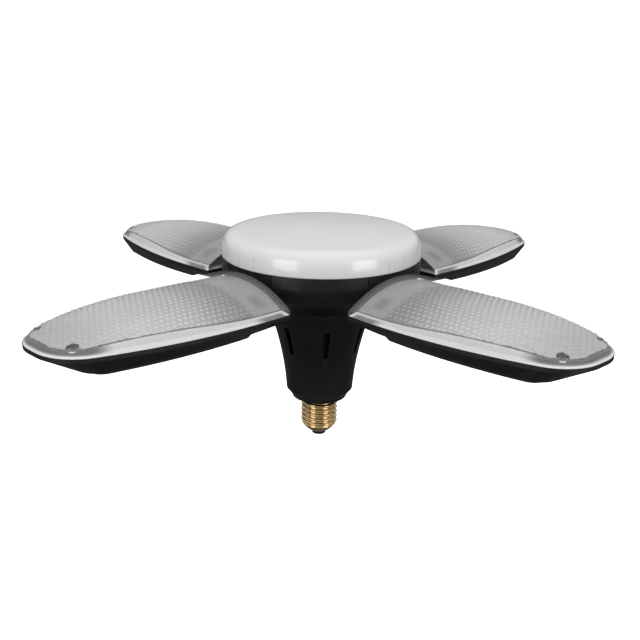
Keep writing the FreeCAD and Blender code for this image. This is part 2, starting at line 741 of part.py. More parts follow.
def output_leads():
    """Two wires from the driver board's upper edge, through the heat disc, to the centre LED board."""
    leads = []
    hole_side = WIRE_HOLE_RADIUS / 2
    for side in (-1, 1):
        leads.append(wire([
            (0, side * LEAD_SIDE, DRIVER_BOARD_BOTTOM + DRIVER_BOARD_HEIGHT),
            (0, side * LEAD_SIDE, HEAT_DISC_BOTTOM - 2 * LEAD_DRAW_IN),
            (0, side * hole_side, HEAT_DISC_BOTTOM - LEAD_DRAW_IN),
            (0, side * hole_side, HUB_RIM)]))
    return group(leads)


# ---------------------------------------------------------------- leaf outlines

def leaf_wire(side_inset, inner_inset, tip_inset, corner_radius, height, slope=0.0):
    """Leaf outline moved in by the insets, at the given height at the leaf's inner end, falling by slope."""
    side_centre_v = LEAF_HALF_WIDTH - LEAF_SIDE_RADIUS
    side_radius = LEAF_SIDE_RADIUS - side_inset
    inner = LEAF_INNER_DISTANCE + inner_inset
    tip = LEAF_TIP_DISTANCE - tip_inset
    corner_u = tip - corner_radius
    reach_u = corner_u - LEAF_WIDEST_DISTANCE
    corner_v = side_centre_v + math.sqrt((side_radius - corner_radius) ** 2 - reach_u ** 2)
    end_angle = math.atan2(corner_v - side_centre_v, reach_u)
    inner_v = side_centre_v + math.sqrt(side_radius ** 2 - (inner - LEAF_WIDEST_DISTANCE) ** 2)
    start_angle = math.atan2(inner_v - side_centre_v, inner - LEAF_WIDEST_DISTANCE)

    def at(u, v):
        return Vector(u, v, height - slope * (u - LEAF_INNER_DISTANCE))

    def on_side(angle):
        u = LEAF_WIDEST_DISTANCE + side_radius * math.cos(angle)
        v = side_centre_v + side_radius * math.sin(angle)
        return (u, v)

    def on_corner(angle):
        u = corner_u + corner_radius * math.cos(angle)
        v = corner_v + corner_radius * math.sin(angle)
        return (u, v)

    first = on_side(start_angle)
    side_middle = on_side((start_angle + end_angle) / 2)
    side_end = on_side(end_angle)
    corner_middle = on_corner(end_angle / 2)
    corner_end = (tip, corner_v)

    def mirrored(point):
        return (point[0], -point[1])

    stops = [
        (mirrored(first), None, first),
        (first, side_middle, side_end),
        (side_end, corner_middle, corner_end),
        (corner_end, None, mirrored(corner_end)),
        (mirrored(corner_end), mirrored(corner_middle), mirrored(side_end)),
        (mirrored(side_end), mirrored(side_middle), mirrored(first))]
    edges = []
    for begin, middle, end in stops:
        if middle is None:
            edges.append(Part.makeLine(at(*begin), at(*end)))
        else:
            edges.append(Part.Arc(at(*begin), at(*middle), at(*end)).toShape())
    return Part.Wire(edges)


def edges_on_plane(shape, height, slope):
    """Edges in the plane that lies at the given height at the leaf's inner end and falls by slope."""
    def gap(point):
        return abs(point.z - height + slope * (point.x - LEAF_INNER_DISTANCE))

    return [edge for edge in shape.Edges if max(map(gap, edge_points(edge))) < EDGE_TOLERANCE]


def leaf_prism(inset, low, high):
    """Upright prism over the leaf outline moved in by inset."""
    foot = leaf_wire(inset, inset, inset, LEAF_CORNER_RADIUS - inset, low)
    return Part.Face(foot).extrude(Vector(0, 0, high - low))


def ruled(lower, upper):
    return Part.makeLoft([lower, upper], True, True)


# ---------------------------------------------------------------- leaf lens

def dome_crown(distance):
    """Height of the dome's crown above the seam: level, then falling on a circle to the tip."""
    fall_start = LEAF_TIP_DISTANCE - DOME_FALL_LENGTH
    beyond = max(0.0, distance - fall_start)
    fall_radius = (DOME_FALL_LENGTH ** 2 + DOME_FALL ** 2) / (2 * DOME_FALL)
    return DOME_CROWN - (fall_radius - math.sqrt(fall_radius ** 2 - beyond ** 2))


def dome_section(distance, inset):
    """Closed section across the leaf: an arc over the crown, closed well below the seam."""
    length = LEAF_TIP_DISTANCE - DOME_FALL_LENGTH - LEAF_INNER_DISTANCE
    share = min(1.0, max(0.0, (distance - LEAF_INNER_DISTANCE) / length))
    widening = DOME_OUTER_SECTION_RADIUS - DOME_INNER_SECTION_RADIUS
    radius = DOME_INNER_SECTION_RADIUS + share * widening - inset
    crown = SEAM + dome_crown(distance) - inset
    half = LEAF_HALF_WIDTH + 1
    edge = crown - (radius - math.sqrt(radius ** 2 - half ** 2))
    low = SEAM - DOME_CROWN
    corners = [
        Vector(distance, -half, low),
        Vector(distance, half, low),
        Vector(distance, half, edge),
        Vector(distance, -half, edge)]
    arc = Part.Arc(corners[2], Vector(distance, 0, crown), corners[3]).toShape()
    lines = [
        Part.makeLine(corners[3], corners[0]),
        Part.makeLine(corners[0], corners[1]),
        Part.makeLine(corners[1], corners[2])]
    return Part.Wire(lines + [arc])


def dome_body(inset):
    """Solid under the lens's domed surface, longer than the leaf at both ends."""
    first = LEAF_INNER_DISTANCE - 1
    last = LEAF_TIP_DISTANCE + 1
    step = (last - first) / (DOME_STATIONS - 1)
    sections = [dome_section(first + k * step, inset) for k in range(DOME_STATIONS)]
    return Part.makeLoft(sections, True, False)


def tip_places():
    return [Vector(TIP_SCREW_DISTANCE, side * TIP_SCREW_SIDE, 0) for side in (-1, 1)]


def leaf_lens():
    """Clear cover: upright wall, domed top and two blind screw bosses near the tip."""
    sharp = dome_body(0).common(leaf_prism(0, SEAM, SEAM + 2 * DOME_CROWN))
    top_edges = [edge for edge in sharp.Edges if min(p.z for p in edge_points(edge)) > SEAM + EDGE_TOLERANCE]
    outside = sharp.makeFillet(LEAF_LENS_ROUND, top_edges)
    inside = dome_body(LEAF_LENS_WALL).common(leaf_prism(LEAF_LENS_WALL, SEAM - 1, SEAM + 2 * DOME_CROWN))
    shell = outside.cut(inside)
    bosses = []
    holes = []
    for place in tip_places():
        foot = place + Vector(0, 0, SEAM)
        boss = cylinder(TIP_BOSS_RADIUS, DOME_CROWN, foot)
        bosses.append(boss.common(outside))
        holes.append(cylinder(TIP_SCREW_RADIUS, TIP_SCREW_BITE, foot))
    return fused([shell] + bosses).cut(holes)


# ---------------------------------------------------------------- leaf tray and plate

def tray_bottom(side_inset, inner_inset, tip_inset, corner_radius, raise_by):
    """Outline on the tray's sloping bottom, raised by the given amount."""
    return leaf_wire(side_inset, inner_inset, tip_inset, corner_radius,
                     SEAM - TRAY_INNER_DEPTH + raise_by, FLOOR_SLOPE)


def tray_outside():
    """Solid tray: an upright lip under the lens and walls that draw in to a smaller sloping bottom."""
    lip_foot = leaf_wire(0, 0, 0, LEAF_CORNER_RADIUS, SEAM - TRAY_LIP)
    lip = Part.Face(lip_foot).extrude(Vector(0, 0, TRAY_LIP))
    bottom = tray_bottom(TRAY_SIDE_INSET, 0, TRAY_TIP_INSET, TRAY_BOTTOM_CORNER_RADIUS, 0)
    sharp = fused([lip, ruled(bottom, lip_foot)])
    return sharp.makeFillet(TRAY_ROUND, edges_on_plane(sharp, SEAM - TRAY_INNER_DEPTH, FLOOR_SLOPE))


def board_seat():
    return SEAM - LEAF_BOARD_THICKNESS


def tray_hollow():
    """Hollow of the tray: a pocket for the board and a drawn-in space below it."""
    pocket = leaf_prism(TRAY_WALL, board_seat(), SEAM + 1)
    ledge = TRAY_WALL + BOARD_LEDGE
    mouth = leaf_wire(ledge, ledge, ledge, LEAF_CORNER_RADIUS - ledge, SEAM)
    bottom = tray_bottom(TRAY_SIDE_INSET + TRAY_WALL, TRAY_WALL, TRAY_TIP_INSET + TRAY_WALL,
                         TRAY_BOTTOM_CORNER_RADIUS - TRAY_WALL, TRAY_WALL)
    return fused([pocket, ruled(bottom, mouth)])


def tip_screw_seat():
    """Height of the face that a tip screw's head bears on."""
    return SEAM + TIP_SCREW_BITE - TIP_SCREW_LENGTH


def on_floor(shape):
    """Moves a shape drawn with the floor's outer face at height 0 and the inner end at x 0 into place."""
    moved = shape.copy()
    moved.rotate(Vector(0, 0, 0), Vector(0, 1, 0), math.degrees(math.atan(FLOOR_SLOPE)))
    moved.translate(Vector(LEAF_INNER_DISTANCE, 0, SEAM - TRAY_INNER_DEPTH))
    return moved


def arm_screw_places():
    x = ARM_LENGTH - ARM_SCREW_FROM_END
    return [(x, side * ARM_SCREW_SIDE) for side in (-1, 1)]


def leaf_tray():
    """Black tray with the screw columns near its tip and a slot for the hinge arm."""
    outside = tray_outside()
    shell = outside.cut(tray_hollow())
    columns = []
    cutters = []
    for place in tip_places():
        column = cylinder(TIP_SCREW_HEAD_RADIUS + TIP_COLUMN_WALL, 2 * TRAY_TIP_DEPTH,
                          place + Vector(0, 0, SEAM - 2 * TRAY_TIP_DEPTH))
        columns.append(column.common(outside))
        cutters.append(cylinder(TIP_SCREW_RADIUS + SEAT_CLEARANCE, 2 * TRAY_TIP_DEPTH,
                                place + Vector(0, 0, SEAM - 2 * TRAY_TIP_DEPTH)))
        seat = tip_screw_seat()
        cutters.append(cylinder(TIP_SCREW_HEAD_RADIUS + 2 * SEAT_CLEARANCE, 2 * TRAY_TIP_DEPTH,
                                place + Vector(0, 0, seat - 2 * TRAY_TIP_DEPTH)))
    half = KNUCKLE_HALF_WIDTH + SEAT_CLEARANCE
    slot_top = TRAY_WALL + ARM_THICKNESS + SEAT_CLEARANCE
    slot = block(-TRAY_WALL, ARM_SLOT_DEPTH, -half, half, TRAY_WALL, slot_top)
    cutters.append(on_floor(slot))
    for x, y in arm_screw_places():
        cutters.append(on_floor(cylinder(ARM_SCREW_RADIUS + SEAT_CLEARANCE, 4 * TRAY_WALL,
                                         Vector(x, y, -2 * TRAY_WALL))))
        cutters.append(on_floor(countersink(x, y, SEAT_CLEARANCE)))
    return fused([shell] + columns).cut(cutters)


def countersink(x, y, clearance):
    """Cone of a flush screw head in the tray's outer face."""
    return Part.makeCone(ARM_SCREW_HEAD_RADIUS + clearance, ARM_SCREW_RADIUS + clearance,
                         ARM_SCREW_HEAD_HEIGHT, Vector(x, y, 0))


def tip_screws():
    """Screws up through the tray's columns into the lens's bosses."""
    screws = []
    for place in tip_places():
        screw = pan_screw(TIP_SCREW_RADIUS, TIP_SCREW_LENGTH, TIP_SCREW_HEAD_RADIUS, TIP_SCREW_HEAD_HEIGHT)
        screw.rotate(Vector(0, 0, 0), Vector(1, 0, 0), 180)
        screw.translate(place + Vector(0, 0, tip_screw_seat()))
        screws.append(screw)
    return group(screws)


def plate_drop(proud_inner, proud_tip):
    """Height at the inner end and slope of a plane that stands proud of the tray's bottom."""
    start = LEAF_INNER_DISTANCE + PLATE_START
    end = LEAF_TIP_DISTANCE - TRAY_TIP_INSET - PLATE_TIP_INSET
    slope = FLOOR_SLOPE + (proud_tip - proud_inner) / (end - start)
    at_start = SEAM - TRAY_INNER_DEPTH - FLOOR_SLOPE * PLATE_START - proud_inner
    return at_start + slope * PLATE_START, slope


def heat_plate():
    """Black finned plate on the tray's underside, with sloping edges and cooling grooves."""
    side = TRAY_SIDE_INSET + PLATE_SIDE_INSET
    tip = TRAY_TIP_INSET + PLATE_TIP_INSET
    top = tray_bottom(side, PLATE_START, tip, PLATE_CORNER_RADIUS, 0)
    height, slope = plate_drop(PLATE_INNER_PROUD, PLATE_TIP_PROUD)
    low = leaf_wire(side + PLATE_CHAMFER, PLATE_START + PLATE_CHAMFER, tip + PLATE_CHAMFER,
                    PLATE_CORNER_RADIUS - PLATE_CHAMFER, height, slope)
    sharp = ruled(low, top)
    plate = sharp.makeFillet(PLATE_ROUND, edges_on_plane(sharp, height, slope))
    grooves = []
    for k in range(GROOVE_COUNT):
        x = LEAF_INNER_DISTANCE + PLATE_START + GROOVE_START + k * GROOVE_PITCH
        under = height - slope * (x - LEAF_INNER_DISTANCE)
        groove = block(x - GROOVE_WIDTH / 2, x + GROOVE_WIDTH / 2, -GROOVE_HALF_LENGTH, GROOVE_HALF_LENGTH,
                       under - GROOVE_DEPTH, under + GROOVE_DEPTH)
        grooves.append(groove)
    return plate.cut(grooves)


# ---------------------------------------------------------------- leaf board and hinge

def leaf_led_board():
    """Board on the tray's ledge, ending before the tip screws."""
    inset = TRAY_WALL + SEAT_CLEARANCE
    outline = leaf_wire(inset, inset, LEAF_BOARD_TIP_INSET, LEAF_BOARD_CORNER_RADIUS, board_seat())
    return Part.Face(outline).extrude(Vector(0, 0, LEAF_BOARD_THICKNESS))


def leaf_leds():
    """Rows of LED packages across the board, narrowing with the leaf."""
    first = LEAF_INNER_DISTANCE + LEAF_LED_MARGIN
    last = LEAF_TIP_DISTANCE - LEAF_BOARD_TIP_INSET - LEAF_LED_MARGIN
    side_centre_v = LEAF_HALF_WIDTH - LEAF_SIDE_RADIUS
    leds = []
    for row in range(LEAF_LED_ROWS):
        u = first + (last - first) * row / (LEAF_LED_ROWS - 1)
        edge = side_centre_v + math.sqrt(LEAF_SIDE_RADIUS ** 2 - (u - LEAF_WIDEST_DISTANCE) ** 2)
        half = edge - TRAY_WALL - LEAF_LED_MARGIN
        for column in range(LEAF_LED_COLUMNS):
            v = half * (2.0 * column / (LEAF_LED_COLUMNS - 1) - 1)
            led = led_package()
            led.translate(Vector(u, v, SEAM))
            leds.append(led)
    return group(leds)


def hinge_arm():
    """Knuckle that turns on the pin, with a tongue that lies on the tray's floor and is screwed to it."""
    width = 2 * KNUCKLE_HALF_WIDTH
    pin_end = Vector(HINGE_DISTANCE, -KNUCKLE_HALF_WIDTH, HINGE_HEIGHT)
    knuckle = cylinder(KNUCKLE_RADIUS, width, pin_end, Vector(0, 1, 0))
    reach = LEAF_INNER_DISTANCE - HINGE_DISTANCE
    tongue = on_floor(block(-reach, ARM_LENGTH, -KNUCKLE_HALF_WIDTH, KNUCKLE_HALF_WIDTH,
                            TRAY_WALL, TRAY_WALL + ARM_THICKNESS))
    arm = fused([knuckle, tongue])
    bore = cylinder(PIN_RADIUS + RUNNING_CLEARANCE, width, pin_end, Vector(0, 1, 0))
    cutters = [bore]
    for x, y in arm_screw_places():
        cutters.append(on_floor(cylinder(ARM_SCREW_RADIUS, ARM_THICKNESS, Vector(x, y, TRAY_WALL))))
    return arm.cut(cutters)


def arm_screws():
    """Flush screws up through the tray's floor into the hinge arm."""
    screws = []
    for x, y in arm_screw_places():
        shank = cylinder(ARM_SCREW_RADIUS, TRAY_WALL + ARM_THICKNESS, Vector(x, y, 0))
        half = ARM_SCREW_RADIUS
        slot = block(x - half, x + half, y - SLOT_WIDTH / 2, y + SLOT_WIDTH / 2, -1, SLOT_DEPTH / 2)
        screws.append(on_floor(fused([shank, countersink(x, y, 0)]).cut(slot)))
    return group(screws)


def hinge_pin():
    """Pin through both ears, with a slotted round head at one end. The nut is at the other end."""
    head_y = -EAR_OUTER - PIN_HEAD_THICKNESS
    length = 2 * EAR_OUTER + PIN_HEAD_THICKNESS + NUT_THICKNESS + 1
    shaft = cylinder(PIN_RADIUS, length, Vector(0, head_y, 0), Vector(0, 1, 0))
    head = cylinder(PIN_HEAD_RADIUS, PIN_HEAD_THICKNESS, Vector(0, head_y, 0), Vector(0, 1, 0))
    slot = block(-PIN_HEAD_RADIUS, PIN_HEAD_RADIUS, head_y - 1, head_y + SLOT_DEPTH,
                 -SLOT_WIDTH / 2, SLOT_WIDTH / 2)
    pin = fused([shaft, head]).cut(slot)
    pin.translate(Vector(HINGE_DISTANCE, 0, HINGE_HEIGHT))
    return pin


def hinge_nuts():
    """Hexagon nuts on the hinge pins."""
    corners = []
    for k in range(7):
        angle = math.radians(60 * k)
        across = PIN_HEAD_RADIUS * math.cos(angle)
        up = PIN_HEAD_RADIUS * math.sin(angle)
        corners.append(Vector(across, EAR_OUTER, up))
    prism = Part.Face(Part.makePolygon(corners)).extrude(Vector(0, NUT_THICKNESS, 0))
    nut = prism.cut(cylinder(PIN_RADIUS, 2 * NUT_THICKNESS, Vector(0, EAR_OUTER - 1, 0), Vector(0, 1, 0)))
    nut.translate(Vector(HINGE_DISTANCE, 0, HINGE_HEIGHT))
    return group(spread(nut, LEAF_COUNT))


def friction_washers():
    """Washers between knuckle and ears, two at each hinge."""
    washers = []
    for low in (EAR_INNER - WASHER_THICKNESS, -EAR_INNER):
        base = Vector(HINGE_DISTANCE, low, HINGE_HEIGHT)
        disc = cylinder(WASHER_RADIUS, WASHER_THICKNESS, base, Vector(0, 1, 0))
        hole = cylinder(PIN_RADIUS + SEAT_CLEARANCE, WASHER_THICKNESS, base, Vector(0, 1, 0))
        washers += spread(disc.cut(hole), LEAF_COUNT)
    return group(washers)


# ---------------------------------------------------------------- write every piece

os.makedirs("parts", exist_ok=True)

hub_pieces = {
    "cap_shell": cap_shell,
    "cap_insulator": cap_insulator,
    "centre_contact": centre_contact,
    "driver_housing": driver_housing,
    "hub_shell": hub_shell,
    "hub_screws": hub_screws,
    "centre_lens": centre_lens,
    "heat_disc": heat_disc,
    "centre_led_board": centre_led_board,
    "centre_leds": centre_leds,
    "board_screws": board_screws,
    "driver_sleeve": driver_sleeve,
    "driver_board": driver_board,
    "driver_transformer": transformer,
    "driver_capacitors": capacitors,
    "driver_rectifier": rectifier,
    "driver_fuse": fuse,
    "live_wire": live_wire,
    "neutral_wire": neutral_wire,
    "output_leads": output_leads,
    "friction_washers": friction_washers,
    "hinge_nuts": hinge_nuts}

leaf_pieces = {
    "leaf_lens": leaf_lens,
    "leaf_tray": leaf_tray,
    "heat_plate": heat_plate,
    "leaf_led_board": leaf_led_board,
    "leaf_leds": leaf_leds,
    "hinge_arm": hinge_arm,
    "hinge_pin": hinge_pin,
    "tip_screws": tip_screws,
    "arm_screws": arm_screws}

for name, make in hub_pieces.items():
    write(name, make())

for name, make in leaf_pieces.items():
    piece = make()
    for leaf in range(LEAF_COUNT):
        write(name + "_" + str(leaf + 1), around(piece, 360.0 * leaf / LEAF_COUNT))
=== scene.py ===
import math

import bpy
from mathutils import Matrix, Vector


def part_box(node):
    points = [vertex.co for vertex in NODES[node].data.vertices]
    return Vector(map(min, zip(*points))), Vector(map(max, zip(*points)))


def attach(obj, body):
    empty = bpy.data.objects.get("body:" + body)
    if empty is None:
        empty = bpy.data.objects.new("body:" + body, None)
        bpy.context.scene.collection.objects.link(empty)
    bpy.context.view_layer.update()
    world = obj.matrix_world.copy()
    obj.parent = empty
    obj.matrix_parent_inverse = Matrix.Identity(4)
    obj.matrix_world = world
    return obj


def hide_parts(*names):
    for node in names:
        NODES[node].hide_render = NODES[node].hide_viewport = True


# Looks of the foldable garage light. Metres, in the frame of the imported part: the screw cap points down,
# leaf 1 lies along +X, leaf 2 along +Y, leaf 3 along -X and leaf 4 along -Y.

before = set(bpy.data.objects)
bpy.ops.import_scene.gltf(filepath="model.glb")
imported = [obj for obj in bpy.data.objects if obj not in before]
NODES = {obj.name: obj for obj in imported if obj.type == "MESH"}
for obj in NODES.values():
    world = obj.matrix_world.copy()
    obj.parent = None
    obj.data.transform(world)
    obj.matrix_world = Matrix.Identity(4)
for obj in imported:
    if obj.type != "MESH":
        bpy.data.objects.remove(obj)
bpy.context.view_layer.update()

MM = 0.001
LEAVES = (1, 2, 3, 4)
QUARTER_TURN = math.radians(90)

# ---------------------------------------------------------------- places read from the frame

LENS_LOW, LENS_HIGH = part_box("leaf_lens_1")
LEAF_INNER = LENS_LOW.x
LEAF_TIP = LENS_HIGH.x
LEAF_HALF_WIDTH = LENS_HIGH.y
SEAM = LENS_LOW.z
LENS_CROWN = LENS_HIGH.z - LENS_LOW.z
CENTRE_LOW, CENTRE_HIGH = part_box("centre_lens")
CENTRE_RADIUS = CENTRE_HIGH.x
CAP_LOW, CAP_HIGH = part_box("cap_shell")
CAP_CREST = CAP_HIGH.x
TIP_SCREW_LOW, TIP_SCREW_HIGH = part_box("tip_screws_1")
TIP_SCREW_U = (TIP_SCREW_LOW.x + TIP_SCREW_HIGH.x) / 2
BOARD_LOW, BOARD_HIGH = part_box("leaf_led_board_1")

# leaf outline, dome and tip bosses, as in the part
LEAF_WIDEST_FROM_END = 31.6 * MM
LEAF_SIDE_RADIUS = 344.0 * MM
LEAF_TIP_STRAIGHT = 4.2 * MM
DOME_FALL_LENGTH = 84.0 * MM
DOME_FALL = 12.0 * MM
DOME_INNER_SECTION_RADIUS = 79.0 * MM
DOME_OUTER_SECTION_RADIUS = 95.0 * MM
TIP_BOSS_RADIUS = 3.2 * MM
TIP_SCREW_SIDE_INSET = 8.1 * MM
TIP_SCREW_INSET = 13.8 * MM

# the round between the leaf's side circle and its straight tip edge, and the screws beside it
LEAF_WIDEST = LEAF_INNER + LEAF_WIDEST_FROM_END
TIP_REACH = LEAF_TIP - LEAF_WIDEST
STRAIGHT_REACH = LEAF_TIP_STRAIGHT + LEAF_SIDE_RADIUS - LEAF_HALF_WIDTH
LEAF_CORNER_RADIUS = (LEAF_SIDE_RADIUS ** 2 - TIP_REACH ** 2 - STRAIGHT_REACH ** 2) / (
    2 * (LEAF_SIDE_RADIUS - TIP_REACH))
CORNER_REACH = LEAF_CORNER_RADIUS - TIP_SCREW_INSET
TIP_SCREW_SIDE = LEAF_TIP_STRAIGHT - TIP_SCREW_SIDE_INSET + math.sqrt(
    LEAF_CORNER_RADIUS ** 2 - CORNER_REACH ** 2)

# ---------------------------------------------------------------- camera

# fitted to the leaf outlines and the hub's rims in the photo, in degrees, metres and pixels
CAMERA_AZIMUTH = 45.62
CAMERA_ELEVATION = 15.70
CAMERA_DISTANCE = 0.67262
CAMERA_ROLL = 0.88
FOCAL_PIXELS = 943.03
PICTURE_SIZE = 640
AIM_PIXEL = (321.09, 279.86)
AIM_POINT = Vector((0, 0, SEAM))

# Blender measures the sensor in millimetres
SENSOR_WIDTH = 36.0
CLIP_START = 0.01


def outward(azimuth, elevation):
    """Direction away from the lamp: azimuth turns from -Y towards +X, elevation rises from level."""
    return Vector((
        math.sin(azimuth) * math.cos(elevation),
        -math.cos(azimuth) * math.cos(elevation),
        math.sin(elevation)))


def add_camera():
    """Camera that sees the aim point at the aim pixel from the photograph's direction."""
    azimuth = math.radians(CAMERA_AZIMUTH)
    roll = math.radians(CAMERA_ROLL)
    back = outward(azimuth, math.radians(CAMERA_ELEVATION))
    forward = -back
    level_right = Vector((math.cos(azimuth), math.sin(azimuth), 0))
    level_up = level_right.cross(forward)
    right = level_right * math.cos(roll) + level_up * math.sin(roll)
    up = level_up * math.cos(roll) - level_right * math.sin(roll)
    across = (AIM_PIXEL[0] - PICTURE_SIZE / 2) / FOCAL_PIXELS
    down = (AIM_PIXEL[1] - PICTURE_SIZE / 2) / FOCAL_PIXELS
    yaw = math.atan(across)
    pitch = math.atan(down * math.cos(yaw))
    yawed = forward * math.cos(yaw) - right * math.sin(yaw)
    right = right * math.cos(yaw) + forward * math.sin(yaw)
    forward = yawed * math.cos(pitch) + up * math.sin(pitch)
    up = up * math.cos(pitch) - yawed * math.sin(pitch)
    place = AIM_POINT + back * CAMERA_DISTANCE
    data = bpy.data.cameras.new("camera")
    data.sensor_width = SENSOR_WIDTH
    data.lens = FOCAL_PIXELS / PICTURE_SIZE * SENSOR_WIDTH
    data.clip_start = CLIP_START
    camera = bpy.data.objects.new("camera", data)
    turn = Matrix((right, up, -forward)).transposed().to_4x4()
    camera.matrix_world = Matrix.Translation(place) @ turn
    bpy.context.scene.collection.objects.link(camera)
    bpy.context.scene.camera = camera


add_camera()

# ---------------------------------------------------------------- stage and light

# metres, degrees and watts; the sky has its low strength below SKY_FROM and its high one above SKY_TO
FLOOR_HEIGHT = -0.34
FLOOR_GREY = 0.9
FLOOR_ROUGHNESS = 0.9
FLOOR_GLOW = 0.85
SWEEP_MIDDLE_RADIUS = 0.0002
SWEEP_FLAT_RADIUS = 3.0
SWEEP_CURVE_RADIUS = 2.5
SWEEP_STEPS = 16
SWEEP_SEGMENTS = 96
SKY_LOW = 0.16
SKY_HIGH = 0.95
SKY_FROM = -0.05
SKY_TO = 0.28
SOFTBOX_DISTANCE = 1.3
SOFTBOX_WIDTH = 0.65
SOFTBOX_HEIGHT = 0.80
SOFTBOX_SPREAD = (-40.0, 48.0)
SOFTBOX_ELEVATION = 8.0
SOFTBOX_POWER = 7.0
TOP_LIGHT_HEIGHT = 1.5
TOP_LIGHT_WIDTH = 2.0
TOP_LIGHT_POWER = 8.0


def ring_faces(rings, segments):
    """Faces between closed rings of vertices that are stacked one after another."""
    faces = []
    for row in range(rings - 1):
        for k in range(segments):
            after = (k + 1) % segments
            faces.append((
                row * segments + k,
                row * segments + after,
                (row + 1) * segments + after,
                (row + 1) * segments + k))
    return faces


def lathe(profile, segments):
    """Vertices and faces of a profile of (radius, height) turned about Z."""
    vertices = []
    for radius, height in profile:
        for k in range(segments):
            angle = 2 * math.pi * k / segments
            vertices.append((radius * math.cos(angle), radius * math.sin(angle), height))
    return vertices, ring_faces(len(profile), segments)


def node_tree(owner):
    """The emptied node tree of a material or world."""
    owner.use_nodes = True
    tree = owner.node_tree
    tree.nodes.clear()
    return tree


def add_world():
    """Grey studio, dark below and bright above."""
    world = bpy.data.worlds.new("studio")
    tree = node_tree(world)
    background = tree.nodes.new("ShaderNodeBackground")
    direction = tree.nodes.new("ShaderNodeTexCoord")
    parts = tree.nodes.new("ShaderNodeSeparateXYZ")
    sky = tree.nodes.new("ShaderNodeMapRange")
    sky.inputs["From Min"].default_value = SKY_FROM
    sky.inputs["From Max"].default_value = SKY_TO
    sky.inputs["To Min"].default_value = SKY_LOW
    sky.inputs["To Max"].default_value = SKY_HIGH
    tree.links.new(direction.outputs["Generated"], parts.inputs[0])
    tree.links.new(parts.outputs["Z"], sky.inputs["Value"])
    tree.links.new(sky.outputs["Result"], background.inputs["Strength"])
    output = tree.nodes.new("ShaderNodeOutputWorld")
    tree.links.new(background.outputs["Background"], output.inputs["Surface"])
    bpy.context.scene.world = world


def add_area_light(name, place, target, width, height, power):
    """Rectangular light at a place, facing the target."""
    data = bpy.data.lights.new(name, "AREA")
    data.shape = "RECTANGLE"
    data.size = width
    data.size_y = height
    data.energy = power
    light = bpy.data.objects.new(name, data)
    light.location = place
    light.rotation_mode = "QUATERNION"
    light.rotation_quaternion = (target - place).to_track_quat("-Z", "Y")
    bpy.context.scene.collection.objects.link(light)


def add_lights():
    """Two softboxes beside the camera and one large light above the lamp."""
    for k, spread in enumerate(SOFTBOX_SPREAD):
        towards = outward(math.radians(CAMERA_AZIMUTH + spread), math.radians(SOFTBOX_ELEVATION))
        place = AIM_POINT + SOFTBOX_DISTANCE * towards
        add_area_light(f"softbox_{k + 1}", place, AIM_POINT, SOFTBOX_WIDTH, SOFTBOX_HEIGHT, SOFTBOX_POWER)
    above = AIM_POINT + Vector((0, 0, TOP_LIGHT_HEIGHT))
    add_area_light("top_light", above, AIM_POINT, TOP_LIGHT_WIDTH, TOP_LIGHT_WIDTH, TOP_LIGHT_POWER)


def add_floor():
    """Round white paper sweep: flat under the lamp and curved up far from it, clear from behind."""
    profile = [(SWEEP_MIDDLE_RADIUS, FLOOR_HEIGHT), (SWEEP_FLAT_RADIUS, FLOOR_HEIGHT)]
    for k in range(1, SWEEP_STEPS + 1):
        angle = QUARTER_TURN * k / SWEEP_STEPS
        profile.append((
            SWEEP_FLAT_RADIUS + SWEEP_CURVE_RADIUS * math.sin(angle),
            FLOOR_HEIGHT + SWEEP_CURVE_RADIUS * (1 - math.cos(angle))))
    vertices, faces = lathe(profile, SWEEP_SEGMENTS)
    mesh = bpy.data.meshes.new("floor")
    mesh.from_pydata(vertices, [], [face[::-1] for face in faces])
    mesh.shade_smooth()
    floor = bpy.data.objects.new("floor", mesh)
    bpy.context.scene.collection.objects.link(floor)
    material = bpy.data.materials.new("floor_paper")
    tree = node_tree(material)
    shader = tree.nodes.new("ShaderNodeBsdfPrincipled")
    shader.inputs["Base Color"].default_value = (FLOOR_GREY, FLOOR_GREY, FLOOR_GREY, 1)
    shader.inputs["Roughness"].default_value = FLOOR_ROUGHNESS
    shader.inputs["Specular IOR Level"].default_value = 0.0
    shader.inputs["Emission Color"].default_value = (1, 1, 1, 1)
    shader.inputs["Emission Strength"].default_value = FLOOR_GLOW
    clear = tree.nodes.new("ShaderNodeBsdfTransparent")
    geometry = tree.nodes.new("ShaderNodeNewGeometry")
    mix = tree.nodes.new("ShaderNodeMixShader")
    output = tree.nodes.new("ShaderNodeOutputMaterial")
    tree.links.new(geometry.outputs["Backfacing"], mix.inputs[0])
    tree.links.new(shader.outputs[0], mix.inputs[1])
    tree.links.new(clear.outputs[0], mix.inputs[2])
    tree.links.new(mix.outputs[0], output.inputs["Surface"])
    mesh.materials.append(material)
    floor.visible_glossy = False
    floor.visible_diffuse = False


add_world()
add_lights()
add_floor()
bpy.context.scene.view_settings.view_transform = "Standard"

# ---------------------------------------------------------------- materials

# patterns that several materials share: scales are cells of noise per metre, depths are metres
NOISE_MIDDLE = (0.3, 0.7)
MOTTLE_SCALE = 35.0
MOTTLE_DETAIL = 3.0
MOTTLE_ROUGHNESS = (-0.05, 0.06)
GRAIN_SCALE = 2600.0
GRAIN_DEPTH = 0.03 * MM
GRAIN_STRENGTH = 0.5
WEAR_POINTINESS = (0.52, 0.58)
WEAR_AMOUNT = 0.5
WEAR_GAIN = 1.7
WEAR_LIFT = 0.004
SMUDGE_SCALE = 60.0
SMUDGE_ROUGHNESS = (-0.06, 0.10)
SCRATCH_SCALE = 900.0
SCRATCH_STRETCH = (1, 1, 30)
SCRATCH_STRENGTH = 0.35
FINE_DEPTH = 0.01 * MM


